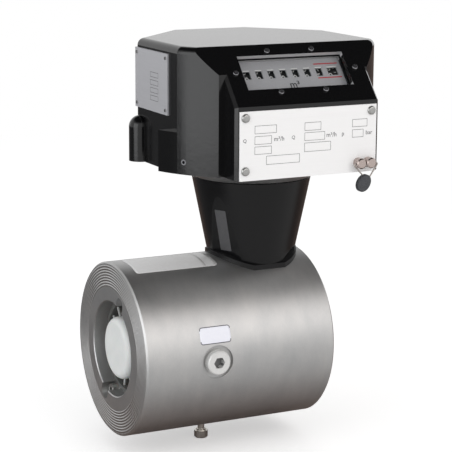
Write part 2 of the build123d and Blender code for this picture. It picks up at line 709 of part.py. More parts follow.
def separating_cup():
    """Pressure-tight cup between the two magnets, screwed down with the neck."""
    top = NECK_FLOOR_Z + CUP_H
    flange_z = NECK_FLOOR_Z + CUP_FLANGE_T
    out_r = CUP_R + CUP_WALL
    cup = turned_z((CUP_R, NECK_FLOOR_Z), (CUP_FLANGE_R, NECK_FLOOR_Z), (CUP_FLANGE_R, flange_z),
                   (out_r, flange_z), (out_r, top + CUP_WALL), (0, top + CUP_WALL), (0, top), (CUP_R, top))
    for k in range(NECK_SCREW_COUNT):
        cup -= around_neck(neck_screw_angle(k), rod_z(NECK_SCREW_R + SLIP, 0, FULL, NECK_SCREW_PITCH_R))
    return cup


def neck_screws():
    """Four socket screws that hold the cup and the neck on the body."""
    flange_z = NECK_FLOOR_Z + CUP_FLANGE_T
    screw = rod_z(NECK_SCREW_R, neck_screw_end_z(), flange_z, NECK_SCREW_PITCH_R)
    head = rod_z(NECK_SCREW_HEAD_R, flange_z, flange_z + NECK_SCREW_HEAD_H, NECK_SCREW_PITCH_R)
    socket_z = flange_z + NECK_SCREW_HEAD_H - CLAMP_HEX_DEPTH
    head -= Pos(NECK_SCREW_PITCH_R, 0, socket_z) * hexagon(CLAMP_HEX_R, CLAMP_HEX_DEPTH)
    return Compound([around_neck(neck_screw_angle(k), screw + head) for k in range(NECK_SCREW_COUNT)])


def neck_seal():
    """O-ring between the body and the neck."""
    wire = Pos(NECK_X, 0, SEAT_Z - ORING_WIRE_R) * Torus(ORING_R, ORING_WIRE_R - SLIP)
    return wire


def cone_r(z):
    """Outer radius of the neck's cone at a height."""
    return NECK_TOP_R - NECK_TAPER * (NECK_TOP_Z - z)


def facet_cutter(angle, top_z, slope):
    """Half space beyond a leaning plane that leaves the neck's cone at top_z."""
    lean = atan2(slope, 1.0)
    turn = radians(angle)
    reach = cone_r(top_z)
    origin = (reach * cos(turn), reach * sin(turn), top_z)
    normal = (cos(turn) * cos(lean), sin(turn) * cos(lean), -sin(lean))
    plane = Plane(origin=origin, z_dir=normal)
    return Pos(NECK_X, 0, 0) * plane.location * Box(FULL, FULL, FULL, align=LOW)


def neck():
    """Conical pedestal with a saddle foot, a flat facet, a low scoop and the swivel bore."""
    low_z = SEAT_Z - SEAT_R / 2
    shell = turned_z((0, low_z), (cone_r(low_z), low_z), (NECK_TOP_R, NECK_TOP_Z), (0, NECK_TOP_Z))
    shell = chamfer(shell.faces().sort_by(Axis.Z)[-1].edges(), EDGE_CHAMFER / 2)
    shell -= facet_cutter(FACET_ANGLE, FACET_TOP_Z, FACET_SLOPE)
    shell -= facet_cutter(SCOOP_ANGLE, SCOOP_TOP_Z, SCOOP_SLOPE)
    flats = Pos(NECK_X, 0, NECK_FLOOR_Z) * Box(FULL, 2 * FOOT_FLAT, FULL)
    foot = rod_z(FOOT_R, low_z, NECK_FLOOR_Z, NECK_X) & flats
    foot = foot & rod_x(BODY_R + FOOT_T, 0, FULL)
    solid = shell + foot - rod_x(BODY_R + FOOT_GAP, 0, FULL)
    solid += rod_z(SEAT_R - SLIP, SEAT_Z, NECK_FLOOR_Z, NECK_X)
    step_z = SPIGOT_Z - BASE_LIFT
    bore = SPIGOT_R + SPIGOT_RUN
    solid -= turned_z((0, NECK_FLOOR_Z), (cone_r(NECK_FLOOR_Z) - NECK_WALL, NECK_FLOOR_Z),
                      (cone_r(step_z) - NECK_WALL, step_z), (bore, step_z), (bore, FULL), (0, FULL))
    solid -= rod_z(BUSH_R + SLIP, 0, FULL, NECK_X)
    for k in range(NECK_SCREW_COUNT):
        solid -= around_neck(neck_screw_angle(k), rod_z(NECK_SCREW_R + SLIP, 0, FULL, NECK_SCREW_PITCH_R))
    return solid - rod_y(LOCK_SCREW_R + SLIP, 0, FULL, NECK_X, LOCK_SCREW_Z)


def neck_lock_screw():
    """Set screw at the back that holds the turned head."""
    tip_y = SPIGOT_R - LOCK_GROOVE_DEPTH + BASE_LIFT
    out_y = cone_r(LOCK_SCREW_Z)
    screw = rod_y(LOCK_SCREW_R, tip_y, out_y, NECK_X, LOCK_SCREW_Z)
    socket = Pos(NECK_X, out_y, LOCK_SCREW_Z) * Rot(90, 0, 0)
    return screw - socket * hexagon(LOCK_SCREW_HEX_R, LOCK_SCREW_HEX_DEPTH)


def pressure_plug():
    """Hexagon socket plug in the front tapping."""
    seat_y = -BODY_R + TAP_SPOT_DEPTH - PLUG_SEAL_T
    head = rod_y(PLUG_HEAD_R, seat_y - PLUG_HEAD_H, seat_y, TAP_X)
    head = chamfer(head.faces().sort_by(Axis.Y)[0].edges(), PLUG_EDGE)
    plug = head + rod_y(TAP_R, seat_y, seat_y + PLUG_THREAD_L + PLUG_SEAL_T, TAP_X)
    socket = Pos(TAP_X, seat_y - PLUG_HEAD_H, 0) * Rot(-90, 0, 0)
    return plug - socket * hexagon(PLUG_HEX_R, PLUG_HEX_DEPTH)


def plug_seal():
    """Flat sealing ring under the plug's head."""
    seat_y = -BODY_R + TAP_SPOT_DEPTH
    ring = rod_y(PLUG_HEAD_R + PLUG_EDGE, seat_y - PLUG_SEAL_T, seat_y, TAP_X)
    return ring - rod_y(TAP_R + SLIP, -FULL, 0, TAP_X)


def under_screw():
    """Slotted screw with a collar under the body."""
    head_z = -BODY_R - UNDER_OUT
    screw = rod_z(UNDER_R, head_z, -BODY_R + UNDER_GRIP, UNDER_X)
    screw += rod_z(UNDER_COLLAR_R, head_z, head_z + UNDER_COLLAR_H, UNDER_X)
    head = rod_z(UNDER_HEAD_R, head_z - UNDER_HEAD_H, head_z, UNDER_X)
    head = chamfer(head.faces().sort_by(Axis.Z)[0].edges(), PLUG_EDGE)
    slot = Box(2 * UNDER_HEAD_R + 1, UNDER_SLOT_W, 2 * UNDER_SLOT_DEPTH)
    return screw + head - Pos(UNDER_X, 0, head_z - UNDER_HEAD_H) * slot


def arc_middle(radius, first, last):
    """Point on a circle about the neck axis, halfway between two of its points."""
    angle = (atan2(first[1], first[0]) + atan2(last[1], last[0])) / 2
    return (radius * cos(angle), radius * sin(angle))


def head_plan():
    """Outline of the housing's main part from above, with the neck axis at the origin."""
    right = (RIGHT_W, -sqrt(RIGHT_R ** 2 - RIGHT_W ** 2))
    right_end = (BLOCK_HALF, -sqrt(RIGHT_R ** 2 - BLOCK_HALF ** 2))
    left = (LEFT_W, -sqrt(LEFT_R ** 2 - LEFT_W ** 2))
    left_end = (LEFT_END_HALF, -sqrt(LEFT_R ** 2 - LEFT_END_HALF ** 2))
    left_middle = arc_middle(LEFT_R, left, left_end)
    back = Polyline((-LEFT_W, left[1]), (-LEFT_W, SIDE_BACK_Y), (-BACK_HALF, BACK_Y), (BACK_HALF, BACK_Y),
                    (RIGHT_W, SIDE_BACK_Y), right)
    right_arc = ThreePointArc(right, arc_middle(RIGHT_R, right, right_end), right_end)
    front = Line(right_end, (-left_end[0], left_end[1]))
    left_points = [(-x, y) for x, y in (left_end, left_middle, left)]
    return make_face([back, right_arc, front, ThreePointArc(*left_points)])


def slope_cutter(depth):
    """Everything in front of the plane that lies depth under the window face."""
    return SLOPE.offset(-depth).location * Box(FULL, FULL, FULL, align=LOW)


def front_block(inset, slope_depth):
    """Front part that carries the name plate, bevelled along its sides when it has no inset."""
    half = BLOCK_HALF - inset
    depth = -BLOCK_ROOT_Y - (BEND_Y + inset)
    height = HEAD_TOP_Z - HEAD_Z
    block = Box(2 * half, depth, height, align=(Align.CENTER, Align.MIN, Align.MIN))
    block = Pos(NECK_X, BEND_Y + inset, HEAD_Z) * block - slope_cutter(slope_depth)
    if inset:
        return block
    sides = block.edges().filter_by(lambda e: abs(abs(e.center().X - NECK_X) - half) < SLIP)
    long = [e for e in sides if e.center().Y < -BLOCK_ROOT_Y - 1 and e.center().Z > HEAD_Z + 1]
    return chamfer(long, BLOCK_BEVEL)


def main_part(inset, slope_depth, top_z):
    """Main part of the housing, pulled in by inset, with rounded edges when it has none."""
    plan = head_plan()
    plan = offset(plan, -inset, kind=Kind.INTERSECTION) if inset else plan
    room = Pos(0, BEND_Y + BLOCK_LEAD) * Rectangle(FULL, FULL, align=(Align.CENTER, Align.MIN))
    part = Pos(NECK_X, 0, HEAD_Z) * extrude(plan & room, top_z - HEAD_Z)
    if not inset:
        corners = [e for e in part.edges().filter_by(Axis.Z) if e.center().Y > -EAR_BACK_Y]
        part = fillet(corners, CORNER_R)
        part = fillet(part.faces().sort_by(Axis.Z)[-1].edges(), TOP_EDGE_R)
    return part - slope_cutter(slope_depth)


def fixing_places():
    """Where the four screws hold the base in the housing, as (x, y) from the neck axis."""
    across = cos(radians(FIXING_ANGLE))
    ahead = sin(radians(FIXING_ANGLE))
    left = LEFT_R - HEAD_WALL - FIXING_IN
    right = RIGHT_R - HEAD_WALL - FIXING_IN
    rear_x = (BACK_HALF + RIGHT_W) / 2 - HEAD_WALL - FIXING_REAR_IN
    rear_y = (BACK_Y + SIDE_BACK_Y) / 2 - HEAD_WALL - FIXING_REAR_IN
    front = [(-left * across, -left * ahead), (right * across, -right * ahead)]
    return front + [(-rear_x, rear_y), (rear_x, rear_y)]


def window_screw_places():
    """Places of the six window screws on the window face."""
    columns = (WINDOW_X - WINDOW_SCREW_X, WINDOW_X + WINDOW_SCREW_X)
    rows = (WINDOW_T - WINDOW_SCREW_T, WINDOW_T + WINDOW_SCREW_T)
    ends = (WINDOW_X - WINDOW_SCREW_END_X, WINDOW_X + WINDOW_SCREW_END_X)
    return [(x, t) for x in columns for t in rows] + [(x, WINDOW_T) for x in ends]


def on_slope(x, t, depth, shape):
    """The shape carried to a place on the window face, depth under it."""
    return SLOPE.location * Pos(x, t, -depth) * shape


def slab(width, height, top_depth, bottom_depth, x=WINDOW_X, t=WINDOW_T):
    """Rectangular slab between two depths under the window face."""
    block = Box(width, height, bottom_depth - top_depth, align=(Align.CENTER, Align.CENTER, Align.MAX))
    return on_slope(x, t, top_depth, block)


def rivet_places():
    """Where the name plate's three rivets sit, as (x, z)."""
    left, right = NECK_X - RIVET_X, NECK_X + RIVET_X
    top_z, low_z = NAME_Z + RIVET_LIFT + RIVET_Z, NAME_Z + RIVET_LIFT - RIVET_Z
    return [(left, top_z), (right, top_z), (left, low_z)]


def seal_screw_xs():
    return [NECK_X + SEAL_SCREW_X + s * SEAL_SCREW_SPACING / 2 for s in (-1, 1)]


def side_pin_places():
    """Where the side plate's four pins sit, as (y, z)."""
    dy, dz = SIDE_PLATE_W / 2 - SIDE_PIN_INSET, SIDE_PLATE_H / 2 - SIDE_PIN_INSET
    return [(SIDE_PLATE_Y + sy * dy, SIDE_PLATE_Z + sz * dz) for sy in (-1, 1) for sz in (-1, 1)]


def side_screw(shape_r, inner, outer, left):
    """Radial bar through the housing's curved wall, from one radius to another."""
    angle = 180 + SIDE_SCREW_ANGLE if left else -SIDE_SCREW_ANGLE
    return around_neck(angle, rod_x(shape_r, inner, outer, 0, SIDE_SCREW_Z))


def head_housing():
    """Cast housing: a shell open below, with the window face, the front block, an ear and a socket boss."""
    outer = main_part(0, 0, HEAD_TOP_Z) + front_block(0, 0)
    inner = main_part(HEAD_WALL, SLOPE_WALL, HEAD_TOP_Z - HEAD_WALL) + front_block(HEAD_WALL, SLOPE_WALL)
    ear_r = LEFT_R - 2 * SLIP
    ear_y = sqrt(LEFT_R ** 2 - LEFT_W ** 2) + HEAD_WALL
    ear_room = Box(LEFT_R - LEFT_W + HEAD_WALL / 2, ear_y - EAR_BACK_Y, EAR_TOP_Z - HEAD_Z,
                   align=(Align.MIN, Align.MAX, Align.MIN))
    ear = Pos(NECK_X - LEFT_R, -EAR_BACK_Y, HEAD_Z) * ear_room & rod_z(ear_r, HEAD_Z, EAR_TOP_Z, NECK_X)
    boss_x = NECK_X - LEFT_W
    boss = rod_z(BOSS_R, HEAD_Z, BOSS_Z, boss_x, BOSS_Y) + Pos(boss_x, BOSS_Y, BOSS_Z) * Sphere(BOSS_R)
    posts_z = HEAD_Z + BASE_T
    posts = [rod_z(FIXING_R, posts_z, posts_z + FIXING_H, NECK_X + x, y) for x, y in fixing_places()]
    shell = outer - inner + ear + boss + posts
    return shell - housing_holes(posts_z)


def housing_holes(posts_z):
    """Everything that is cut out of the housing's walls: the window and the holes for screws and pins."""
    boss_x = NECK_X - LEFT_W
    screw_r = WINDOW_SCREW_R + SLIP
    holes = [slab(WINDOW_W, WINDOW_H, -1, SLOPE_WALL + 1)]
    holes.append(rod_z(SOCKET_R + SLIP, HEAD_Z - 1, HEAD_Z + SOCKET_DEPTH, boss_x, BOSS_Y))
    for x, y in fixing_places():
        holes.append(rod_z(FIXING_SCREW_R + SLIP, HEAD_Z, posts_z + FIXING_SCREW_L, NECK_X + x, y))
    for x, t in window_screw_places():
        holes.append(on_slope(x, t, SLOPE_WALL + 1, Cylinder(screw_r, WINDOW_SCREW_L, align=LOW)))
    for x, z in rivet_places():
        holes.append(rod_y(RIVET_SHANK_R + SLIP, BEND_Y - 1, BEND_Y + RIVET_SHANK_L, x, z))
    for x in seal_screw_xs():
        holes.append(rod_y(SEAL_SCREW_R / 2 + SLIP, BEND_Y - 1, BEND_Y + HEAD_WALL - 1, x, SEAL_SCREW_Z))
    for y, z in side_pin_places():
        holes.append(rod_x(SIDE_PIN_R / 2 + SLIP, boss_x - 1, boss_x + SIDE_PIN_L, y, z))
    for radius, left in ((LEFT_R, True), (RIGHT_R, False)):
        holes.append(side_screw(SIDE_SCREW_R + SLIP, radius - SIDE_SCREW_L - 1, radius + 1, left))
    return holes


def head_base():
    """Turned underside of the head: swivel spigot, funnel, bush tube and the plate in the housing."""
    low = NECK_TOP_Z + BASE_LIFT
    spigot_in = SPIGOT_R - SPIGOT_WALL
    plate_z = HEAD_Z + BASE_T
    tube_in = DRIVE_R + RUN_GAP
    funnel_in = FUNNEL_TOP_R - FUNNEL_WALL
    groove_r = SPIGOT_R - LOCK_GROOVE_DEPTH
    groove_low = LOCK_SCREW_Z - LOCK_GROOVE_H / 2
    groove_top = LOCK_SCREW_Z + LOCK_GROOVE_H / 2
    body = turned_z((tube_in, BASE_TUBE_Z), (BASE_TUBE_R, BASE_TUBE_Z), (BASE_TUBE_R, low),
                    (spigot_in, low), (spigot_in, SPIGOT_Z), (SPIGOT_R, SPIGOT_Z),
                    (SPIGOT_R, groove_low), (groove_r, groove_low), (groove_r, groove_top),
                    (SPIGOT_R, groove_top), (SPIGOT_R, low), (NECK_TOP_R, low),
                    (FUNNEL_TOP_R, HEAD_Z), (FUNNEL_TOP_R, plate_z), (funnel_in, plate_z),
                    (NECK_TOP_R - BASE_T, low + BASE_T), (BASE_TUBE_R, low + BASE_T),
                    (BASE_TUBE_R, BASE_TUBE_TOP_Z), (tube_in, BASE_TUBE_TOP_Z))
    inner = main_part(HEAD_WALL + SLIP, SLOPE_WALL, plate_z) + front_block(HEAD_WALL + SLIP, SLOPE_WALL)
    plate = inner & Pos(NECK_X, 0, HEAD_Z) * Box(FULL, FULL, BASE_T, align=LOW)
    plate -= rod_z((FUNNEL_TOP_R + funnel_in) / 2, 0, FULL, NECK_X)
    base = body + plate
    boss_x = NECK_X - LEFT_W
    base -= rod_z(BOSS_R + SLIP, 0, FULL, boss_x, BOSS_Y)
    for x, y in fixing_places():
        base -= rod_z(FIXING_SCREW_R + SLIP, 0, FULL, NECK_X + x, y)
        base -= rod_z(FIXING_HEAD_R + 2 * SLIP, 0, HEAD_Z + FIXING_HEAD_H, NECK_X + x, y)
    return base


def base_screws():
    """Four screws that hold the base in the housing, their heads sunk in the plate."""
    screws = []
    for x, y in fixing_places():
        screw = rod_z(FIXING_SCREW_R, HEAD_Z, HEAD_Z + FIXING_SCREW_L, NECK_X + x, y)
        screw += rod_z(FIXING_HEAD_R, HEAD_Z, HEAD_Z + FIXING_HEAD_H, NECK_X + x, y)
        screws.append(screw - Pos(NECK_X + x, y, HEAD_Z) * hexagon(SIDE_SCREW_HEX_R, FIXING_HEAD_H))
    return Compound(screws)


def socket_cap():
    """Blanking cap screwed into the socket boss from below."""
    cap = rod_z(SOCKET_R, HEAD_Z, HEAD_Z + SOCKET_DEPTH - 1, NECK_X - LEFT_W, BOSS_Y)
    return cap - Pos(NECK_X - LEFT_W, BOSS_Y, HEAD_Z) * hexagon(SOCKET_CAP_HEX_R, SOCKET_CAP_HEX_DEPTH)


def side_screws():
    """Small set screws in the curved walls."""
    screws = []
    for radius, left in ((LEFT_R, True), (RIGHT_R, False)):
        screw = side_screw(SIDE_SCREW_R, radius - SIDE_SCREW_L, radius, left)
        screws.append(screw - side_screw(SIDE_SCREW_HEX_R, radius - SIDE_SCREW_L / 2, FULL, left))
    return Compound(screws)


def window_frame():
    """Frame behind the window face, with a rebate for the glass and a lip for the dial plate."""
    glass_low = SLOPE_WALL + GLASS_T
    ring_w = WINDOW_W + 2 * FRAME_RING_EDGE_X
    ring_h = WINDOW_H + 2 * FRAME_RING_EDGE_T
    frame = slab(ring_w, ring_h, SLOPE_WALL, FRAME_RING_DEPTH)
    frame -= slab(glass_w() + 2 * SLIP, glass_h() + 2 * SLIP, SLOPE_WALL - 1, glass_low)
    frame -= slab(WINDOW_W, WINDOW_H, 0, DIAL_DEPTH + DIAL_T)
    frame -= slab(WINDOW_W - 2 * DIAL_LIP, WINDOW_H - 2 * DIAL_LIP, 0, FRAME_RING_DEPTH + 1)
    frame -= slab(WINDOW_W, WINDOW_H, DIAL_DEPTH + DIAL_T + DIAL_LIP_T, FRAME_RING_DEPTH + 1)
    for x, t in window_screw_places():
        hole = Cylinder(WINDOW_SCREW_R + SLIP, FULL, align=LOW)
        frame -= on_slope(x, t, WINDOW_SCREW_L + WINDOW_SCREW_CLEAR, hole)
    return frame


def glass_w():
    return WINDOW_W + 2 * GLASS_LEDGE_X


def glass_h():
    return WINDOW_H + 2 * GLASS_LEDGE_T


def window_glass():
    """Pane behind the window opening."""
    return slab(glass_w(), glass_h(), SLOPE_WALL, SLOPE_WALL + GLASS_T)


def dial_plate():
    """Plate over the rollers with an opening for each."""
    plate = slab(WINDOW_W - 2 * DIAL_GAP, WINDOW_H - 2 * DIAL_GAP, DIAL_DEPTH, DIAL_DEPTH + DIAL_T)
    for k, x in enumerate(ROLLER_XS):
        width = LAST_OPENING_W if k == ROLLER_COUNT - 1 else OPENING_W
        plate -= slab(width, OPENING_H, 0, FRAME_RING_DEPTH, x - NECK_X, ROLLER_T - OPENING_SHIFT)
    return plate


def window_screws():
    """Six pan head screws around the window."""
    shank = Pos(0, 0, -WINDOW_SCREW_L) * Cylinder(WINDOW_SCREW_R, WINDOW_SCREW_L, align=LOW)
    head = Cylinder(WINDOW_SCREW_HEAD_R, WINDOW_SCREW_HEAD_H, align=LOW)
    head = fillet(head.faces().sort_by(Axis.Z)[-1].edges(), WINDOW_SCREW_HEAD_H / 2)
    socket = Pos(0, 0, WINDOW_SCREW_HEAD_H / 2) * hexagon(WINDOW_SCREW_HEX_R, WINDOW_SCREW_HEAD_H)
    return Compound([on_slope(x, t, 0, shank + head - socket) for x, t in window_screw_places()])


def name_plate():
    """Plate on the front block."""
    plate = Box(NAME_W, PLATE_T, NAME_H, align=(Align.CENTER, Align.MAX, Align.CENTER))
    plate = Pos(NECK_X, BEND_Y, NAME_Z) * plate
    for x, z in rivet_places():
        plate -= rod_y(RIVET_SHANK_R + SLIP, -FULL, 0, x, z)
    for x in seal_screw_xs():
        plate -= rod_y(SEAL_SCREW_R / 2 + SLIP, -FULL, 0, x, SEAL_SCREW_Z)
    return plate


def plate_rivets():
    """Three domed rivets of the name plate and the four small pins of the side plate."""
    face_y = BEND_Y - PLATE_T
    rivets = []
    for x, z in rivet_places():
        head = rod_y(RIVET_R, face_y - RIVET_H, face_y, x, z)
        head = fillet(head.faces().sort_by(Axis.Y)[0].edges(), RIVET_DOME_R)
        rivets.append(head + rod_y(RIVET_SHANK_R, face_y, BEND_Y + RIVET_SHANK_L, x, z))
    return Compound(rivets + side_pins())


def seal_screws():
    """Two screws with drilled round heads for the seal wire."""
    face_y = BEND_Y - PLATE_T
    screws = []
    for x in seal_screw_xs():
        head = rod_y(SEAL_SCREW_R, face_y - SEAL_SCREW_H, face_y, x, SEAL_SCREW_Z)
        head = chamfer(head.faces().sort_by(Axis.Y)[0].edges(), PLUG_EDGE)
        head -= rod_x(SEAL_HOLE_R, 0, FULL, face_y - SEAL_HOLE_OUT, SEAL_SCREW_Z)
        screws.append(head + rod_y(SEAL_SCREW_R / 2, face_y, BEND_Y + HEAD_WALL - 1, x, SEAL_SCREW_Z))
    return Compound(screws)


def seal_wire():
    """Wire loop through both drilled heads, closed below by the lead."""
    face_y = BEND_Y - PLATE_T
    low_z = SEAL_SCREW_Z - SEAL_DROP
    xs = seal_screw_xs()
    left, right = xs[0] - SEAL_SCREW_R - SEAL_REACH, xs[1] + SEAL_SCREW_R + SEAL_REACH
    foot = NECK_X + SEAL_SCREW_X + SEAL_FOOT_HALF
    y = face_y - SEAL_HOLE_OUT
    corners = [(left, y, SEAL_SCREW_Z), (right, y, SEAL_SCREW_Z), (foot + SEAL_FOOT_HALF, y, low_z),
               (foot - SEAL_FOOT_HALF, y, low_z)]
    path = FilletPolyline(*corners, radius=SEAL_BEND_R, close=True)
    return sweep(Plane(origin=path @ 0, z_dir=path % 0) * Circle(SEAL_WIRE_R), path)


def lead_seal():
    """Pressed lead on the wire."""
    y = BEND_Y - PLATE_T - SEAL_HOLE_OUT
    x = NECK_X + SEAL_SCREW_X + SEAL_FOOT_HALF
    low_z = SEAL_SCREW_Z - SEAL_DROP
    tilt = radians(SEAL_TILT)
    centre = (x + SEAL_LONG * sin(tilt), low_z - SEAL_LONG * cos(tilt) + SEAL_FOOT_HALF)
    disc = extrude(Ellipse(SEAL_HALF_W, SEAL_R), SEAL_T / 2, both=True)
    disc = fillet(disc.edges(), SEAL_EDGE_R)
    return Pos(centre[0], y, centre[1]) * Rot(90, 0, 0) * Rot(0, 0, SEAL_TILT) * disc - seal_wire()


def side_plate():
    """Plate on the left side face."""
    plate = Box(PLATE_T, SIDE_PLATE_W, SIDE_PLATE_H, align=(Align.MAX, Align.CENTER, Align.CENTER))
    plate = Pos(NECK_X - LEFT_W, SIDE_PLATE_Y, SIDE_PLATE_Z) * plate
    for y, z in side_pin_places():
        plate -= rod_x(SIDE_PIN_R / 2 + SLIP, -FULL, FULL, y, z)
    return plate


def side_pins():
    face_x = NECK_X - LEFT_W - PLATE_T
    pins = []
    for y, z in side_pin_places():
        pin = rod_x(SIDE_PIN_R, face_x - SIDE_PIN_H, face_x, y, z)
        pins.append(pin + rod_x(SIDE_PIN_R / 2, face_x, NECK_X - LEFT_W + SIDE_PIN_L, y, z))
    return pins


def frame_plate(x0):
    """Side plate of the counter, hulled round its shafts and its two feet under the window frame."""
    foot_ts = (FRAME_FOOT_LOW_T, FRAME_FOOT_TOP_T)
    feet = [SLOPE.location * Pos(0, t, -FRAME_RING_DEPTH - FRAME_EDGE / 2) for t in foot_ts]
    circles = [Pos(f.position.Y, f.position.Z) * CenterArc((0, 0), FRAME_EDGE / 2, 0, 360) for f in feet]
    spots = [(ROLLER_Y, ROLLER_Z), (TRANSFER_Y, TRANSFER_Z), (CROSS_Y, CROSS_Z), bar_places()[1]]
    circles += [Pos(y, z) * CenterArc((0, 0), FRAME_EDGE, 0, 360) for y, z in spots]
    outline = make_hull([edge for circle in circles for edge in circle.edges()])
    return Pos(x0, 0, 0) * Plane.YZ.location * extrude(outline, FRAME_T)


def bar_places():
    """Where the counter's two cross bars run, as (y, z)."""
    front = SLOPE.location * Pos(0, FRAME_FOOT_LOW_T, -FRAME_RING_DEPTH - FRAME_EDGE)
    back = (CROSS_Y - WORM_R, CROSS_Z + WHEEL_R + FRAME_BACK_RISE)
    return [(front.position.Y, front.position.Z), back]


def counter_frame():
    """Two side plates joined by cross bars."""
    left_x = FRAME_LEFT_X - FRAME_T
    frame = frame_plate(left_x) + frame_plate(FRAME_X)
    for y, z in bar_places():
        frame += rod_x(FRAME_BAR / 2, left_x, FRAME_X + FRAME_T, y, z)
    frame -= rod_x(AXLE_R + SLIP, 0, FULL, ROLLER_Y, ROLLER_Z)
    frame -= rod_x(TRANSFER_AXLE_R + SLIP, 0, FULL, TRANSFER_Y, TRANSFER_Z)
    frame -= rod_x(AXLE_R + SLIP, NECK_X, FULL, IDLER_Y, IDLER_Z)
    return frame - rod_x(CROSS_R + RUN_GAP, 0, FULL, CROSS_Y, CROSS_Z)


def counter_axles():
    """Fixed axles of the rollers, of the transfer pinions and of the idler."""
    left_x = FRAME_LEFT_X - FRAME_T
    right_x = FRAME_X + FRAME_T
    rollers = rod_x(AXLE_R, left_x, right_x, ROLLER_Y, ROLLER_Z)
    collar_x1 = ROLLER_XS[0] - ROLLER_W / 2 - TRANSFER_GAP
    rollers += rod_x(COLLAR_R, FRAME_LEFT_X, collar_x1, ROLLER_Y, ROLLER_Z)
    transfer = rod_x(TRANSFER_AXLE_R, left_x, right_x, TRANSFER_Y, TRANSFER_Z)
    idler = rod_x(AXLE_R, TRAIN_X - TRAIN_SIDE_GAP, right_x, IDLER_Y, IDLER_Z)
    return Compound([rollers, transfer, idler])


def slot_after(k):
    """The free space to the right of roller k, as (x0, x1)."""
    right_half = LAST_ROLLER_W / 2 if k + 1 == ROLLER_COUNT - 1 else ROLLER_W / 2
    return ROLLER_XS[k] + ROLLER_W / 2, ROLLER_XS[k + 1] - right_half


def roller(k):
    """Number roller: rim, lock disc on its left and gear on its right. The last one has the unit gear."""
    last = k == ROLLER_COUNT - 1
    half = (LAST_ROLLER_W if last else ROLLER_W) / 2
    x0, x1 = ROLLER_XS[k] - half, ROLLER_XS[k] + half
    body = rod_x(ROLLER_R, x0, x1, ROLLER_Y, ROLLER_Z)
    if k:
        body += rod_x(ROLLER_LOCK_R, x0 - ROLLER_LOCK_W, x0, ROLLER_Y, ROLLER_Z)
    if last:
        body += rod_x(UNIT_R / 2, x1, TRAIN_X, ROLLER_Y, ROLLER_Z)
        mate = degrees(atan2(CROSS_Z - ROLLER_Z, CROSS_Y - ROLLER_Y))
        unit = gear_face(UNIT_TEETH, TRAIN_MODULE, mate)
        body += gear_x(unit, TRAIN_FACE, TRAIN_X, ROLLER_Y, ROLLER_Z)
    else:
        slot = slot_after(k)
        width = slot[1] - slot[0] - ROLLER_LOCK_W - TRANSFER_GAP
        body += gear_x(small_gear_face(ROLLER_TEETH, TRANSFER_ANGLE), width, x1, ROLLER_Y, ROLLER_Z)
    return body - rod_x(AXLE_R + ROLLER_BORE_GAP, 0, FULL, ROLLER_Y, ROLLER_Z)


def transfer_pinion(k):
    """Pinion that carries the turn of roller k + 1 to roller k."""
    slot = slot_after(k)
    width = slot[1] - slot[0] - 2 * TRANSFER_GAP
    phase = TRANSFER_ANGLE + 180 + 180 / TRANSFER_TEETH
    teeth = small_gear_face(TRANSFER_TEETH, phase)
    pinion = gear_x(teeth, width, slot[0] + TRANSFER_GAP, TRANSFER_Y, TRANSFER_Z)
    return pinion - rod_x(TRANSFER_AXLE_R + ROLLER_BORE_GAP, 0, FULL, TRANSFER_Y, TRANSFER_Z)


def idler_gear():
    """Gear between the cross shaft and the unit roller."""
    mate = degrees(atan2(ROLLER_Z - IDLER_Z, ROLLER_Y - IDLER_Y))
    phase = mate + 180 / IDLER_TEETH
    gear = gear_x(gear_face(IDLER_TEETH, TRAIN_MODULE, phase), TRAIN_FACE, TRAIN_X, IDLER_Y, IDLER_Z)
    return gear - rod_x(AXLE_R + ROLLER_BORE_GAP, 0, FULL, IDLER_Y, IDLER_Z)


def cross_shaft():
    """Cross shaft with its small gear cut on it."""
    shaft = rod_x(CROSS_R, FRAME_LEFT_X - FRAME_T, FRAME_X + FRAME_T, CROSS_Y, CROSS_Z)
    mate = degrees(atan2(IDLER_Z - CROSS_Z, IDLER_Y - CROSS_Y))
    return shaft + gear_x(gear_face(CROSS_TEETH, TRAIN_MODULE, mate), TRAIN_FACE, TRAIN_X, CROSS_Y, CROSS_Z)


def worm_wheel():
    """Wheel on the cross shaft that the worm drives."""
    teeth = gear_face(WHEEL_TEETH, WORM_MODULE, 0, WHEEL_BACKLASH)
    wheel = gear_x(teeth, WHEEL_FACE, NECK_X - WHEEL_FACE / 2, CROSS_Y, CROSS_Z)
    wheel += rod_x(CROSS_R * 2, NECK_X - 1.5 * WHEEL_FACE, NECK_X + 1.5 * WHEEL_FACE, CROSS_Y, CROSS_Z)
    return wheel - rod_x(CROSS_R + SLIP, 0, FULL, CROSS_Y, CROSS_Z)


def worm_shaft():
    """Upright shaft from the driven magnet, with the worm cut at its top."""
    pitch = pi * WORM_MODULE
    root_r = WORM_R - WORM_ROOT * WORM_MODULE
    tip_r = WORM_R + WORM_TIP * WORM_MODULE
    length = WORM_TURNS * pitch
    low_z = CROSS_Z - length / 2 - pitch / 4
    path = Helix(pitch, length, root_r)
    slope = tan(radians(PRESSURE_ANGLE))
    base = pitch / 4 + (WORM_R - root_r) * slope - BACKLASH
    tip = pitch / 4 - (tip_r - WORM_R) * slope - BACKLASH
    deep_r = root_r - WORM_SINK
    ridge = Polyline((deep_r, -base), (tip_r, -tip), (tip_r, tip), (deep_r, base), close=True)
    worm = Pos(NECK_X, 0, low_z) * sweep(Plane.XZ * make_face(ridge), path, is_frenet=True)
    core = rod_z(root_r, low_z - pitch / 2, low_z + length + pitch / 2, NECK_X)
    top = low_z + length + pitch
    return core + worm + rod_z(DRIVE_R, HEAD_MAGNET_Z, top, NECK_X)


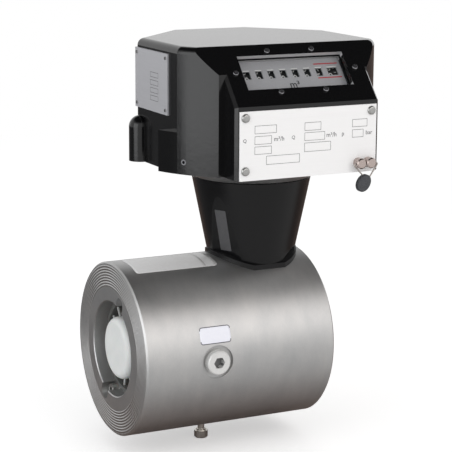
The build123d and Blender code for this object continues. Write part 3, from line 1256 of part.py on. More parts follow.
PARTS = {
    "meter_body": meter_body, "inlet_straightener": inlet_straightener, "clamp_screws": clamp_screws,
    "outlet_carrier": outlet_carrier, "tail_cone": tail_cone, "retaining_ring": retaining_ring,
    "bearing_shells": bearing_shells, "drive_bushes": drive_bushes, "neck_seal": neck_seal, "neck": neck,
    "neck_screws": neck_screws, "separating_cup": separating_cup, "neck_lock_screw": neck_lock_screw,
    "pressure_plug": pressure_plug, "plug_seal": plug_seal, "under_screw": under_screw,
    "turbine_rotor": turbine_rotor, "rotor_shaft": rotor_shaft, "rotor_nut": rotor_nut,
    "bearing_inner_rings": bearing_inner_rings, "crown_wheel": crown_wheel, "drive_shaft": drive_shaft,
    "driving_magnet": driving_magnet, "driven_magnet": driven_magnet, "worm_shaft": worm_shaft,
    "worm_wheel": worm_wheel, "cross_shaft": cross_shaft, "idler_gear": idler_gear,
    "counter_frame": counter_frame, "counter_axles": counter_axles, "head_base": head_base,
    "head_housing": head_housing, "base_screws": base_screws, "socket_cap": socket_cap,
    "side_screws": side_screws, "window_frame": window_frame, "window_glass": window_glass,
    "window_screws": window_screws, "dial_plate": dial_plate,
    "name_plate": name_plate, "plate_rivets": plate_rivets, "seal_screws": seal_screws,
    "seal_wire": seal_wire, "lead_seal": lead_seal, "side_plate": side_plate,
}

os.makedirs("parts", exist_ok=True)
for name, make in PARTS.items():
    export_step(make(), f"parts/{name}.step")
for number in range(ROLLER_COUNT):
    export_step(roller(number), f"parts/roller_{number + 1}.step")
for number in range(ROLLER_COUNT - 1):
    export_step(transfer_pinion(number), f"parts/transfer_pinion_{number + 1}.step")
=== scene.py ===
# %% [markdown]
# A gas turbine meter, dressed for a portrait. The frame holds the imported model: each CAD node is one object
# whose place is in its mesh. We keep those meshes as they are, give each one a finish, and add what is
# printed, stuck or pressed on the real meter. Everything is in metres, with the gas flowing along +X and
# the plate facing -Y.

# %% Load the frame
import bpy
import numpy as np
from math import atan2, cos, pi, radians, sin, sqrt
from mathutils import Matrix, Vector


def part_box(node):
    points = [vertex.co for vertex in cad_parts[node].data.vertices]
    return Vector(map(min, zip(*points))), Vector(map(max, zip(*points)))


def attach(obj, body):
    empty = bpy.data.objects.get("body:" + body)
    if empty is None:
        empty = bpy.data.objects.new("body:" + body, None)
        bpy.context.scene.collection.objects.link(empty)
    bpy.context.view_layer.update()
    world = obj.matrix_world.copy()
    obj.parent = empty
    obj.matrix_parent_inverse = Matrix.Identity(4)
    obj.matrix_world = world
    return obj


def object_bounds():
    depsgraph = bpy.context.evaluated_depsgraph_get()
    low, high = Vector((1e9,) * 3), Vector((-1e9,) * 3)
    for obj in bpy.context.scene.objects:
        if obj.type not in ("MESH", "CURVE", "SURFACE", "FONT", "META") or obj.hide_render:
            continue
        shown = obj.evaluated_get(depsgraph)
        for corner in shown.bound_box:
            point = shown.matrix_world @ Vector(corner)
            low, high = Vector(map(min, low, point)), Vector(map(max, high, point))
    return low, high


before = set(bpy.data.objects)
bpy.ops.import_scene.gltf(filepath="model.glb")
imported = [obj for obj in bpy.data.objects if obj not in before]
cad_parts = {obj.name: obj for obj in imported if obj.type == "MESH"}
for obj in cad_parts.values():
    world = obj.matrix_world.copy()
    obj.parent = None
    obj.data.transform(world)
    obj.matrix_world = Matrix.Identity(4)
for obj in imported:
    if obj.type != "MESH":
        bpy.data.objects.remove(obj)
cad_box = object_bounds()
MM = 0.001
print("nodes in the frame:", len(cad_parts))

# %% [markdown]
# The photograph was taken from the left of the name plate and a little above it, with a long lens. A camera
# can be placed by fitting known points of the object to their pixels, which gives a place, a turn and a
# focal length. We write those down and build the matrix by hand, because the roll of a third of a degree
# would be lost otherwise.

# %% Camera
CAMERA_PLACE = Vector((-0.3674, -0.8895, 0.2743))
CAMERA_AZIMUTH = radians(-26.38)
CAMERA_HEIGHT = radians(11.82)
CAMERA_ROLL = radians(0.305)
FOCAL_PIXELS = 1712.0
FRAME_PIXELS = 452.0
SENSOR_MM = 36.0
NEAR_CLIP = 0.05


def aim(azimuth, height, roll):
    """Camera axes as columns: right, up and back, where back points from the object to the camera."""
    back = Vector((sin(azimuth) * cos(height), -cos(azimuth) * cos(height), sin(height)))
    right = Vector((cos(azimuth), sin(azimuth), 0))
    up = back.cross(right)
    turned_right = right * cos(roll) + up * sin(roll)
    turned_up = up * cos(roll) - right * sin(roll)
    return Matrix((turned_right, turned_up, back)).transposed()


lens = bpy.data.cameras.new("photo_lens")
lens.sensor_width = SENSOR_MM
lens.lens = FOCAL_PIXELS / FRAME_PIXELS * SENSOR_MM
lens.clip_start = NEAR_CLIP
camera = bpy.data.objects.new("photo_camera", lens)
camera_axes = aim(CAMERA_AZIMUTH, CAMERA_HEIGHT, CAMERA_ROLL)
camera.matrix_world = Matrix.Translation(CAMERA_PLACE) @ camera_axes.to_4x4()
bpy.context.scene.collection.objects.link(camera)
bpy.context.scene.camera = camera
print("lens:", round(lens.lens, 1), "mm")

# %% [markdown]
# Shader sums are easier to read as sums. The class Wire holds one output of a node, and the operators add
# Math nodes to the tree, so that a mask is written as an expression. Recipe is a node tree: its method
# node() is the only place where a node is made, and it sets the node's settings before it fills its
# sockets. Finish is the recipe of one material, and the world is a recipe too.

# %% Wires
class Wire:
    """A number or vector in a node tree. Arithmetic on it adds a Math node."""

    def __init__(self, recipe, socket):
        self.recipe = recipe
        self.socket = socket

    def math(self, operation, *others):
        return self.recipe.node("ShaderNodeMath", {"operation": operation}, [self, *others])

    def beside(self, *names):
        """Other outputs of the same node."""
        return [Wire(self.recipe, self.socket.node.outputs[name]) for name in names]

    def __add__(self, other):
        return self.math("ADD", other)

    def __radd__(self, other):
        return self.math("ADD", other)

    def __sub__(self, other):
        return self.math("SUBTRACT", other)

    def __rsub__(self, other):
        return self.recipe.node("ShaderNodeMath", {"operation": "SUBTRACT"}, [other, self])

    def __mul__(self, other):
        return self.math("MULTIPLY", other)

    def __rmul__(self, other):
        return self.math("MULTIPLY", other)

    def __gt__(self, other):
        return self.math("GREATER_THAN", other)

    def __lt__(self, other):
        return self.math("LESS_THAN", other)

    def sine(self):
        return self.math("SINE")

    def size(self):
        return self.math("ABSOLUTE")

    def root(self):
        return self.math("SQRT")


# %% Recipes
NOISE_ROUGHNESS = 0.55


class Recipe:
    """A node tree, and the few ways in which nodes are added to it."""

    def __init__(self, tree):
        self.tree = tree

    def fill(self, socket, value):
        if isinstance(value, Wire):
            self.tree.links.new(value.socket, socket)
        else:
            socket.default_value = value

    def node(self, kind, settings=None, inputs=(), out=0):
        """Adds a node, sets its settings, fills its sockets by order or by name, and returns one output."""
        made = self.tree.nodes.new(kind)
        for key, value in (settings or {}).items():
            if key == "stops":
                self.colour_stops(made.color_ramp, value)
            else:
                setattr(made, key, value)
        pairs = inputs.items() if isinstance(inputs, dict) else enumerate(inputs)
        for key, value in pairs:
            self.fill(made.inputs[key], value)
        return Wire(self, made.outputs[out])

    @staticmethod
    def colour_stops(ramp, stops):
        """Puts (position, colour) stops on a ramp that starts with two."""
        while len(ramp.elements) < len(stops):
            ramp.elements.new(0.5)
        for element, (position, colour) in zip(ramp.elements, stops):
            element.position = position
            element.color = (*colour, 1.0)

    def steps(self, value, start, end, first=0.0, last=1.0):
        """A number that goes from first to last while value goes from start to end, and stays there."""
        return self.node("ShaderNodeMapRange", inputs=[value, start, end, first, last])

    def place(self, kind="Object"):
        """Coordinates as three numbers."""
        spot = self.node("ShaderNodeTexCoord", out=kind)
        return self.node("ShaderNodeSeparateXYZ", inputs=[spot]).beside("X", "Y", "Z")

    def grain(self, scale, detail=3.0, stretch=(1.0, 1.0, 1.0)):
        """Noise around 0.5 on object coordinates, scale in waves per metre, stretched along the axes."""
        spot = self.node("ShaderNodeTexCoord", out="Object")
        turned = self.node("ShaderNodeMapping", inputs={"Vector": spot, "Scale": stretch})
        return self.node("ShaderNodeTexNoise", inputs={"Vector": turned, "Scale": scale, "Detail": detail,
                                                       "Roughness": NOISE_ROUGHNESS})

    def blend(self, factor, first, second):
        """Mix of two colours by a number from 0 to 1."""
        return self.node("ShaderNodeMix", {"data_type": "RGBA"}, {0: factor, 6: first, 7: second}, out=2)

    def ramp(self, factor, *stops):
        return self.node("ShaderNodeValToRGB", {"stops": stops}, [factor])


# %% Finishes
class Finish(Recipe):
    """One material: a Principled shader and the nodes that vary it."""

    def __init__(self, name, **constants):
        self.material = bpy.data.materials.new(name)
        self.material.use_nodes = True
        super().__init__(self.material.node_tree)
        self.shader = next(n for n in self.tree.nodes if n.type == "BSDF_PRINCIPLED")
        for key, value in constants.items():
            socket = self.shader.inputs[key.replace("_", " ").title().replace("Ior", "IOR")]
            socket.default_value = value

    def bump(self, height, depth):
        """Bump from a height of 0 to 1 that stands for depth in metres."""
        normal = self.node("ShaderNodeBump", inputs={"Strength": 1.0, "Distance": depth, "Height": height})
        self.fill(self.shader.inputs["Normal"], normal)

    def colour(self, value):
        self.fill(self.shader.inputs["Base Color"], value)

    def roughness(self, value):
        self.fill(self.shader.inputs["Roughness"], value)


def tone(red, green, blue):
    return (red, green, blue, 1.0)


def dress(finish, *names):
    """Gives CAD nodes one finish."""
    for name in names:
        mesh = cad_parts[name].data
        mesh.materials.clear()
        mesh.materials.append(finish.material)
    print(finish.material.name, "on", len(names), "pieces")


# %% [markdown]
# The body is one bar of steel, turned on a lathe. The tool leaves rings: around the cylinder they run
# across the axis, and on the end faces they run round the pipe. Both are noise that is stretched, fine
# along the feed and long along the cut. The end faces also carry sealing grooves, which are a wave of the
# radius, so a Bump draws them.

# %% Turned steel
GROOVE_IN = 36.6
GROOVE_OUT = 49.4
GROOVE_PITCH = 1.6
GROOVE_DEPTH = 0.5
BODY_LENGTH = 120.0
FACE_SKIN = 0.4
CUTS_ALONG, CUTS_ROUND = 7000.0, 9000.0

turned = Finish("turned_steel", metallic=1.0)
along, across, upward = turned.place()
radius = (across * across + upward * upward).root()
on_face = (along < FACE_SKIN * MM) + (along > (BODY_LENGTH - FACE_SKIN) * MM)
rings = turned.node("ShaderNodeCombineXYZ", inputs=[along * CUTS_ALONG, radius * CUTS_ROUND, 0.0])
cut = turned.node("ShaderNodeTexNoise", inputs={"Vector": rings, "Scale": 1.0, "Detail": 2.0})
cloud = turned.grain(60.0, 3.0, (1.6, 0.8, 0.8))
fleck = turned.grain(1100.0, 3.0, (5.0, 0.8, 0.8))
warm = turned.ramp(cloud * 0.45 + fleck * 0.35 + cut * 0.2, (0.36, (0.440, 0.442, 0.445)),
                   (0.50, (0.490, 0.490, 0.488)), (0.64, (0.540, 0.535, 0.528)))
turned.colour(warm)
turned.roughness(0.36 + fleck * 0.10 + cut * 0.08)
in_band = (radius > GROOVE_IN * MM) * (radius < GROOVE_OUT * MM) * on_face
wave = (radius * (2 * pi / (GROOVE_PITCH * MM))).sine() * 0.5 + 0.5
turned.bump(wave * in_band * 0.95 + cut * 0.05, GROOVE_DEPTH * MM)
dress(turned, "meter_body")

# %% [markdown]
# Machined stainless pieces and plated screws differ only in tone and in how fine their marks are, so one
# function makes both. Each gets a soft noise in its roughness, which breaks the clean highlight of bare
# metal.

# %% Small metal finishes
MARK_DEPTH = 0.00001
MARK_SHADE = 0.82


def metal(name, colour, rough, spread=0.12, scale=1200.0):
    """Bare metal: the roughness and the tone follow one noise, the bump is a fine one."""
    finish = Finish(name, metallic=1.0)
    marks = finish.grain(scale, 4.0)
    dark = tuple(MARK_SHADE * c for c in colour)
    finish.colour(finish.blend(marks, tone(*dark), tone(*colour)))
    finish.roughness(rough - spread / 2 + marks * spread)
    finish.bump(marks, MARK_DEPTH)
    return finish


stainless = metal("machined_stainless", (0.62, 0.61, 0.59), rough=0.28)
bright_screw = metal("plated_screw", (0.72, 0.72, 0.70), rough=0.22, spread=0.10)
dark_screw = metal("blued_screw", (0.20, 0.20, 0.21), rough=0.26, spread=0.10)
dress(stainless, "retaining_ring", "bearing_shells", "separating_cup", "rotor_shaft", "rotor_nut",
      "bearing_inner_rings", "drive_shaft", "worm_shaft", "cross_shaft", "counter_axles")
dress(bright_screw, "clamp_screws", "neck_screws", "neck_lock_screw", "base_screws")
dress(metal("rivet_steel", (0.42, 0.42, 0.41), rough=0.24), "plate_rivets")
dress(dark_screw, "side_screws", "window_screws")
dress(metal("sealing_ring_steel", (0.55, 0.55, 0.54), rough=0.40, spread=0.10, scale=700.0), "plug_seal")
dress(metal("under_screw_steel", (0.80, 0.77, 0.72), rough=0.34), "under_screw")
dress(metal("bronze_screw", (0.52, 0.44, 0.41), rough=0.28), "seal_screws")
dress(metal("tinned_wire", (0.50, 0.46, 0.43), rough=0.32), "seal_wire")
dress(metal("turned_brass", (0.72, 0.53, 0.26), rough=0.26), "drive_bushes", "crown_wheel", "worm_wheel",
      "idler_gear", *[f"transfer_pinion_{k}" for k in range(1, 8)])
dress(metal("light_alloy", (0.70, 0.71, 0.72), rough=0.33), "turbine_rotor", "counter_frame")
dress(metal("satin_alloy", (0.50, 0.50, 0.50), rough=0.42, spread=0.10, scale=500.0),
      "head_base", "outlet_carrier", "tail_cone")

# %% [markdown]
# Lead is soft: the seal pliers leave it dented and dull. The magnets are sintered, so they are grey and
# grainy. Rubber is a dark, rough plastic. All three are the same recipe with other numbers.

# %% Dull finishes
def dull(name, colour, rough, scale, depth, metallic=0.0, contrast=0.25):
    """A matt surface with a grain of its own: colour and height follow the noise."""
    finish = Finish(name, metallic=metallic, roughness=rough)
    grain = finish.grain(scale, 5.0)
    dark = tuple(c * (1 - contrast) for c in colour)
    light = tuple(min(1.0, c * (1 + contrast)) for c in colour)
    finish.colour(finish.blend(grain, tone(*dark), tone(*light)))
    finish.bump(grain, depth)
    return finish


dress(dull("pressed_lead", (0.075, 0.078, 0.085), rough=0.62, scale=1500.0, depth=0.0003, metallic=0.5,
           contrast=0.45), "lead_seal")
dress(dull("sintered_magnet", (0.10, 0.10, 0.105), rough=0.5, scale=2500.0, depth=0.00004, metallic=0.5),
      "driving_magnet", "driven_magnet")
dress(dull("black_rubber", (0.02, 0.02, 0.02), rough=0.6, scale=900.0, depth=0.00003), "neck_seal")

# %% [markdown]
# The straightener is moulded in white plastic. Real moulded plastic is never one tone: it is a little
# darker where it is thick, and its skin has a faint ripple. A wide noise in the tone and a shallow bump
# give both. Shade is painted into the channels, on the ring and on the flanks of the vanes, as a dark grey
# tone, while the nose and the front edges of the vanes keep the white. The mask for this painted shade is
# worked out from the distance to the pipe's axis and the way down the pipe.

# %% White plastic
NOSE_R = 18.3
BORE_R = 25.0
VANE_FRONT_X = 9.5
SHADE_FROM_EDGE, SHADE_FULL_EDGE = 0.2, 1.2
NOSE_MARGIN, RING_MARGIN = 0.15, 0.1

white = Finish("white_acetal", subsurface_weight=0.06, ior=1.48)
along, across, upward = white.place()
radius = (across * across + upward * upward).root()
# Painted shade: past the vanes' front edges and on the ring, away from the nose, the tone turns dark grey.
past_edge = white.steps(along, (VANE_FRONT_X + SHADE_FROM_EDGE) * MM, (VANE_FRONT_X + SHADE_FULL_EDGE) * MM)
on_ring = radius > (BORE_R - RING_MARGIN) * MM
painted_shade = (radius > (NOSE_R + NOSE_MARGIN) * MM) * past_edge.math("MAXIMUM", on_ring)
shade = white.grain(140.0, 3.0)
plain_white = white.blend(shade, tone(0.70, 0.70, 0.69), tone(0.80, 0.80, 0.79))
shade_grey = white.blend(shade, tone(0.06, 0.06, 0.058), tone(0.16, 0.16, 0.155))
white.colour(white.blend(painted_shade, plain_white, shade_grey))
white.roughness(0.30 + shade * 0.12)
white.bump(white.grain(700.0, 2.0), 0.00002)
dress(white, "inlet_straightener")

# %% [markdown]
# The tapping plug is plated with a matt, nearly white zinc. Its hexagon is a deep hole, and the shade in
# it is painted: the tone falls where a point lies below the plug's face, inside the hexagon's reach of the
# plug's own axis.

# %% Tapping plug
PLUG_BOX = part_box("pressure_plug")
PLUG_FACE_Y = PLUG_BOX[0][1]
PLUG_X = (PLUG_BOX[0][0] + PLUG_BOX[1][0]) / 2
PLUG_Z = (PLUG_BOX[0][2] + PLUG_BOX[1][2]) / 2
PLUG_HEX_R = 3.1
HEX_SKIN = 0.4

zinc = Finish("matt_zinc", metallic=0.35)
along, across, upward = zinc.place()
off_x, off_z = along - PLUG_X, upward - PLUG_Z
near_axis = (off_x * off_x + off_z * off_z).root() < PLUG_HEX_R * MM
# Painted shade: dark grey inside the hexagon, below the plug's face.
hex_painted_shade = near_axis * (across > PLUG_FACE_Y + HEX_SKIN * MM)
spots = zinc.grain(1800.0, 4.0)
plated = zinc.blend(spots, tone(0.66, 0.66, 0.65), tone(0.80, 0.80, 0.79))
zinc.colour(zinc.blend(hex_painted_shade, plated, tone(0.20, 0.20, 0.20)))
zinc.roughness(0.42 + spots * 0.16)
zinc.bump(spots, 0.00002)
dress(zinc, "pressure_plug")
print("plug face at", round(PLUG_FACE_Y / MM, 2), "mm")

# %% [markdown]
# The window lies in a sloping face of the head. The slope has a frame of its own: x along the pipe, t up
# the slope and a depth under its face. The finishes and the prints behind the glass are placed in it.

# %% The slope's own frame
NECK_X = 90.2
SLOPE = radians(49.2)
ROLLER_BOX = np.array(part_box("roller_1")) / MM
ROLLER_R = float(ROLLER_BOX[1][1] - ROLLER_BOX[0][1]) / 2
AXIS_Y = float(ROLLER_BOX[1][1] + ROLLER_BOX[0][1]) / 2
AXIS_Z = float(ROLLER_BOX[1][2] + ROLLER_BOX[0][2]) / 2
SLOPE_T = 24.3
AXIS_DEPTH = 16.8
DIAL_DEPTH = 6.0
OUT_WAY = np.array([0.0, -sin(SLOPE), cos(SLOPE)])
UP_WAY = np.array([0.0, cos(SLOPE), sin(SLOPE)])
START = np.array([NECK_X, AXIS_Y, AXIS_Z]) + AXIS_DEPTH * OUT_WAY - SLOPE_T * UP_WAY
print("roller radius:", round(ROLLER_R, 2), "slope starts at", START.round(2))

# %% [markdown]
# The head is a casting under thick gloss paint. Paint that dries on a casting pulls into a faint orange
# peel, so reflections wobble at a scale of a few millimetres. The neck has the same paint, thinner and less
# glossy. The upper and lower walls of the window's opening, above and below the row of digits, carry a
# painted reflection in pale grey, and the mask for them is a product of steps: inside the opening in x and
# in t, close to its edge in t, and below the face.

# %% Black paints
WINDOW_X = -0.66
WINDOW_T = 22.1
WINDOW_HALF = (33.3, 11.25)
WALL_MARGIN = 0.25
WALL_DEPTHS = (0.25, 7.4)
WALL_BAND = 2.0


def paint(name, colour, rough, peel, fine, ior=1.46, painted_wall_light=False):
    """Black paint: a slow ripple for the peel, and a fine one that varies the gloss."""
    finish = Finish(name, ior=ior)
    ripple = finish.grain(230.0, 2.0)
    dust = finish.grain(1500.0, 4.0)
    light = tuple(c * 1.5 for c in colour)
    black = finish.blend(dust, tone(*colour), tone(*light))
    # Painted reflection: the opening's upper and lower walls get pale grey in place of the black paint.
    if painted_wall_light:
        grey = finish.blend(dust, tone(0.40, 0.40, 0.41), tone(0.52, 0.52, 0.53))
        black = finish.blend(opening_walls(finish), black, grey)
    finish.colour(black)
    finish.roughness(rough + dust * fine)
    finish.bump(ripple * 0.8 + dust * 0.2, peel)
    return finish


def opening_walls(finish):
    """Mask of the opening's upper and lower walls: t close to its edges, x inside them, below the face."""
    x, y, z = finish.place()
    dy, dz = y - START[1] * MM, z - START[2] * MM
    t = dy * UP_WAY[1] + dz * UP_WAY[2]
    depth = dy * -OUT_WAY[1] + dz * -OUT_WAY[2]
    off_x = (x - (NECK_X + WINDOW_X) * MM).size()
    off_t = (t - WINDOW_T * MM).size()
    across_opening = off_x < (WINDOW_HALF[0] + WALL_MARGIN) * MM
    up_opening = off_t < (WINDOW_HALF[1] + WALL_MARGIN) * MM
    edge = off_t > (WINDOW_HALF[1] - WALL_BAND) * MM
    below_face = (depth > WALL_DEPTHS[0] * MM) * (depth < WALL_DEPTHS[1] * MM)
    return across_opening * up_opening * edge * below_face


dress(paint("gloss_black_paint", (0.0022, 0.0022, 0.0025), rough=0.12, peel=0.00005, fine=0.08,
            painted_wall_light=True), "head_housing")
dress(paint("satin_black_paint", (0.003, 0.003, 0.0034), rough=0.20, peel=0.00003, fine=0.10, ior=1.36),
      "neck", "socket_cap")
dress(paint("frame_paint", (0.006, 0.006, 0.007), rough=0.35, peel=0.00003, fine=0.10,
            painted_wall_light=True), "window_frame")

# %% [markdown]
# The pane is clear. For a window it is enough to let most light through and keep the mirror of its surface,
# so the alpha is low and the surface is smooth. A faint noise in the roughness stands for dust on it.

# %% Glass
glass = Finish("window_pane", alpha=0.08, ior=1.5)
glass.colour(tone(0.02, 0.024, 0.024))
glass.roughness(0.03 + glass.grain(260.0, 3.0) * 0.05)
dress(glass, "window_glass")

# %% [markdown]
# The dial is pale grey with a fine speckle. The rollers are black plastic with a hairline turned into their
# rims.

# %% Dial and rollers
dial = Finish("dial_grey")
speckle = dial.grain(2600.0, 3.0)
dial.colour(dial.blend(speckle, tone(0.39, 0.395, 0.415), tone(0.47, 0.475, 0.495)))
dial.roughness(0.40 + speckle * 0.15)
dial.bump(speckle, 0.00001)
dress(dial, "dial_plate")

roller_black = Finish("roller_black")
lines = roller_black.grain(500.0, 2.0, (12.0, 1.0, 1.0))
roller_black.colour(roller_black.blend(lines, tone(0.004, 0.004, 0.005), tone(0.012, 0.012, 0.013)))
roller_black.roughness(0.40 + lines * 0.15)
roller_black.bump(lines, 0.00001)
dress(roller_black, *[f"roller_{k}" for k in range(1, 9)])

# %% [markdown]
# Both plates are thin anodised sheets. The name plate is nearly white and the side plate is silver; both
# show the rolling direction of the sheet as a faint streak.

# %% Plates
def sheet_metal(name, low, high, rough, metallic, stretch):
    """Rolled sheet: streaks are noise pulled long along the rolling direction."""
    finish = Finish(name, metallic=metallic)
    streak = finish.grain(420.0, 4.0, stretch)
    finish.colour(finish.blend(streak, tone(*low), tone(*high)))
    finish.roughness(rough + streak * 0.10)
    finish.bump(streak, 0.000006)
    return finish


dress(sheet_metal("name_plate_white", (0.90, 0.90, 0.90), (0.95, 0.95, 0.955), rough=0.30, metallic=0.0,
                  stretch=(0.15, 1.0, 6.0)), "name_plate")
dress(sheet_metal("side_plate_silver", (0.46, 0.46, 0.485), (0.54, 0.54, 0.565), rough=0.36, metallic=0.45,
                  stretch=(1.0, 0.2, 6.0)), "side_plate")

# %% [markdown]
# Prints and labels are thin sheets that lie on a surface. A place function carries flat sizes, right and
# up, to the surface: a plane for the plates, a cylinder for the body. Every outline is a rounded rectangle.

# %% Places on the object
BODY_R = 51.0
PLATE_FACE_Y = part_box("name_plate")[0][1] / MM
SIDE_FACE_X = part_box("side_plate")[0][0] / MM


def on_name_plate(right, up, lift):
    """Right is counted from the plate's middle line, up is the height."""
    return np.stack([NECK_X + right, np.full_like(right, PLATE_FACE_Y) - lift, up], axis=-1)


def on_side_plate(right, up, lift):
    """Right runs towards -Y, seen from outside the left side."""
    return np.stack([np.full_like(right, SIDE_FACE_X) - lift, -right, up], axis=-1)


def on_body(right, up, lift):
    """Right runs along the pipe, up is an arc length, counted from the front of the cylinder."""
    angle = up / BODY_R
    reach = BODY_R + lift
    return np.stack([right, -reach * np.cos(angle), reach * np.sin(angle)], axis=-1)


print("plates face", round(PLATE_FACE_Y, 2), "mm in y and", round(SIDE_FACE_X, 2), "mm in x")

# %% Meshes from grids
def mesh_piece(name, points, faces, body, finish, smooth=False):
    """A mesh object from points in millimetres and faces, riding on a body."""
    mesh = bpy.data.meshes.new(name)
    mesh.from_pydata((np.asarray(points).reshape(-1, 3) * MM).tolist(), [], [tuple(f) for f in faces])
    mesh.polygons.foreach_set("use_smooth", [smooth] * len(mesh.polygons))
    mesh.update()
    piece = bpy.data.objects.new(name, mesh)
    bpy.context.scene.collection.objects.link(piece)
    mesh.materials.append(finish.material)
    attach(piece, body)
    return piece


def grid_faces(rows, columns, closed=False):
    """Quads of a grid of points, rows by columns, whose rows may close on themselves."""
    index = np.arange(rows * columns).reshape(rows, columns)
    if closed:
        index = np.concatenate([index, index[:, :1]], axis=1)
    return np.stack([index[:-1, :-1], index[:-1, 1:], index[1:, 1:], index[1:, :-1]], axis=-1).reshape(-1, 4)


# %% Outlines
CORNER_STEPS = 6
LEAST_CORNER = 0.01


def rounded_outline(width, height, corner):
    """Points of a rounded rectangle about its middle, anticlockwise, as (right, up)."""
    turn = np.linspace(0, pi / 2, CORNER_STEPS)
    signs = [(1, 1), (-1, 1), (-1, -1), (1, -1)]
    parts = []
    for quarter, (sx, sy) in enumerate(signs):
        a = turn + quarter * pi / 2
        parts.append(np.stack([sx * (width / 2 - corner) + corner * np.cos(a),
                               sy * (height / 2 - corner) + corner * np.sin(a)], axis=-1))
    return np.concatenate(parts)


def line_frame(name, place, middle, size, line, corner, lift, body, finish):
    """A thin rounded frame: the outline and the same outline pulled in by the line's width."""
    outer = rounded_outline(size[0], size[1], corner)
    inner = rounded_outline(size[0] - 2 * line, size[1] - 2 * line, max(corner - line, LEAST_CORNER))
    rings = np.stack([outer, inner]) + np.array(middle)
    points = place(rings[..., 0], rings[..., 1], lift)
    mesh_piece(name, points, grid_faces(2, len(outer), closed=True), body, finish)


# %% Label sheets
ROWS, COLUMNS = 24, 24
THICKNESS_SHARE = 0.9


def label_sheet(name, place, middle, size, corner, lift, body, finish):
    """A rounded sheet as a grid: each row's half width shrinks by the corner's circle near its ends."""
    up = np.sin(np.linspace(-pi / 2, pi / 2, ROWS)) * size[1] / 2
    past = np.maximum(0.0, np.abs(up) - (size[1] / 2 - corner))
    half = size[0] / 2 - corner + np.sqrt(np.maximum(corner ** 2 - past ** 2, 0.0))
    right = np.linspace(-1, 1, COLUMNS)[None, :] * half[:, None]
    points = place(right + middle[0], np.repeat(up[:, None], COLUMNS, axis=1) + middle[1], lift)
    piece = mesh_piece(name, points, grid_faces(ROWS, COLUMNS), body, finish, smooth=True)
    sheet = piece.modifiers.new("thickness", "SOLIDIFY")
    sheet.thickness = lift * MM * THICKNESS_SHARE
    sheet.offset = -1.0


# %% [markdown]
# The name plate of the real meter is printed with boxes that hold its sizes. The boxes are kept bare here,
# and only the signs and units of what is measured stand beside them. A word starts as a text curve, is
# turned into a flat mesh and is carried to its place, because a mesh can be put on any surface. A print is
# so thin that it only needs to stand a few hundredths of a millimetre off the plate, so that it isn't lost
# in it.

# %% Words as flat meshes
def flat_text(words, height, weight=0.0):
    """A word as points and faces in millimetres, its middle at the origin, its height as given."""
    curve = bpy.data.curves.new("word", "FONT")
    curve.body = words
    curve.resolution_u = 3
    curve.offset = weight
    holder = bpy.data.objects.new("word", curve)
    bpy.context.scene.collection.objects.link(holder)
    bpy.context.view_layer.update()
    mesh = bpy.data.meshes.new_from_object(holder)
    points = np.empty(len(mesh.vertices) * 3)
    mesh.vertices.foreach_get("co", points)
    faces = [tuple(p.vertices) for p in mesh.polygons]
    bpy.data.objects.remove(holder)
    bpy.data.meshes.remove(mesh)
    bpy.data.curves.remove(curve)
    points = points.reshape(-1, 3)
    low, high = points.min(axis=0), points.max(axis=0)
    points = (points - (low + high) / 2) * height / (high[1] - low[1])
    return points, faces


# %% Printed boxes
ink = Finish("grey_ink")
wear = ink.grain(3000.0, 2.0)
ink.colour(ink.blend(wear, tone(0.05, 0.05, 0.055), tone(0.18, 0.18, 0.19)))
ink.roughness(0.5 + wear * 0.1)

NAME_BOXES = [(-34.0, -20.5, 136.9, 132.4), (-3.0, 7.4, 136.9, 132.3), (27.4, 37.1, 136.9, 132.5),
              (-34.0, -23.5, 131.1, 126.5), (-3.0, 9.9, 131.3, 126.7), (27.4, 34.7, 131.1, 126.6),
              (-34.0, -23.5, 125.4, 121.0), (-3.0, 13.8, 125.6, 120.5), (-26.8, -5.9, 119.9, 115.0)]
PLATE_MARKS = [("m³/h", -18.9, 129.0), ("m³/h", 14.1, 129.2), ("bar", 38.4, 129.0), ("Q", -40.0, 128.8),
               ("Q", -10.0, 129.0), ("p", 21.5, 128.6)]
MARK_H, MARK_WEIGHT = 2.3, 0.008
RAISED_SHARE = 1.1
BOX_LINE, BOX_CORNER = 0.24, 0.05
PRINT_LIFT = 0.02
for count, (left, right, top, low) in enumerate(NAME_BOXES):
    line_frame(f"name_box_{count + 1}", on_name_plate, ((left + right) / 2, (top + low) / 2),
               (right - left, top - low), BOX_LINE, BOX_CORNER, PRINT_LIFT, "head", ink)
for count, (words, right, up) in enumerate(PLATE_MARKS):
    points, faces = flat_text(words, MARK_H * (RAISED_SHARE if "³" in words else 1.0), MARK_WEIGHT)
    spots = on_name_plate(points[:, 0] + right, points[:, 1] + up, PRINT_LIFT)
    mesh_piece(f"plate_mark_{count + 1}", spots, faces, "head", ink)
print("on the name plate:", len(NAME_BOXES), "boxes and", len(PLATE_MARKS), "signs")

# %% Boxes on the side plate
SIDE_BOX_HEIGHTS = [159.3, 154.8, 150.4, 146.0]
SIDE_BOX_RIGHT, SIDE_BOX_SIZE, SIDE_BOX_LINE = 6.0, (11.0, 3.0), 0.30
for count, height in enumerate(SIDE_BOX_HEIGHTS):
    line_frame(f"side_box_{count + 1}", on_side_plate, (SIDE_BOX_RIGHT, height), SIDE_BOX_SIZE, SIDE_BOX_LINE,
               BOX_CORNER, PRINT_LIFT, "head", ink)
print("on the side plate:", len(SIDE_BOX_HEIGHTS), "boxes")

# %% [markdown]
# Two stickers lie on the cylinder: a small one with a dark border above the tapping, and a long one on top
# that ends in a clear, grey strip. A third, upright one sits on the flat of the neck. All are left bare.

# %% Paper and print
def paper(name, low, high, rough):
    """Paper, film or print: the tone and the roughness follow one fibre noise."""
    finish = Finish(name)
    fibre = finish.grain(500.0, 4.0)
    finish.colour(finish.blend(fibre, tone(*low), tone(*high)))
    finish.roughness(rough + fibre * 0.1)
    return finish


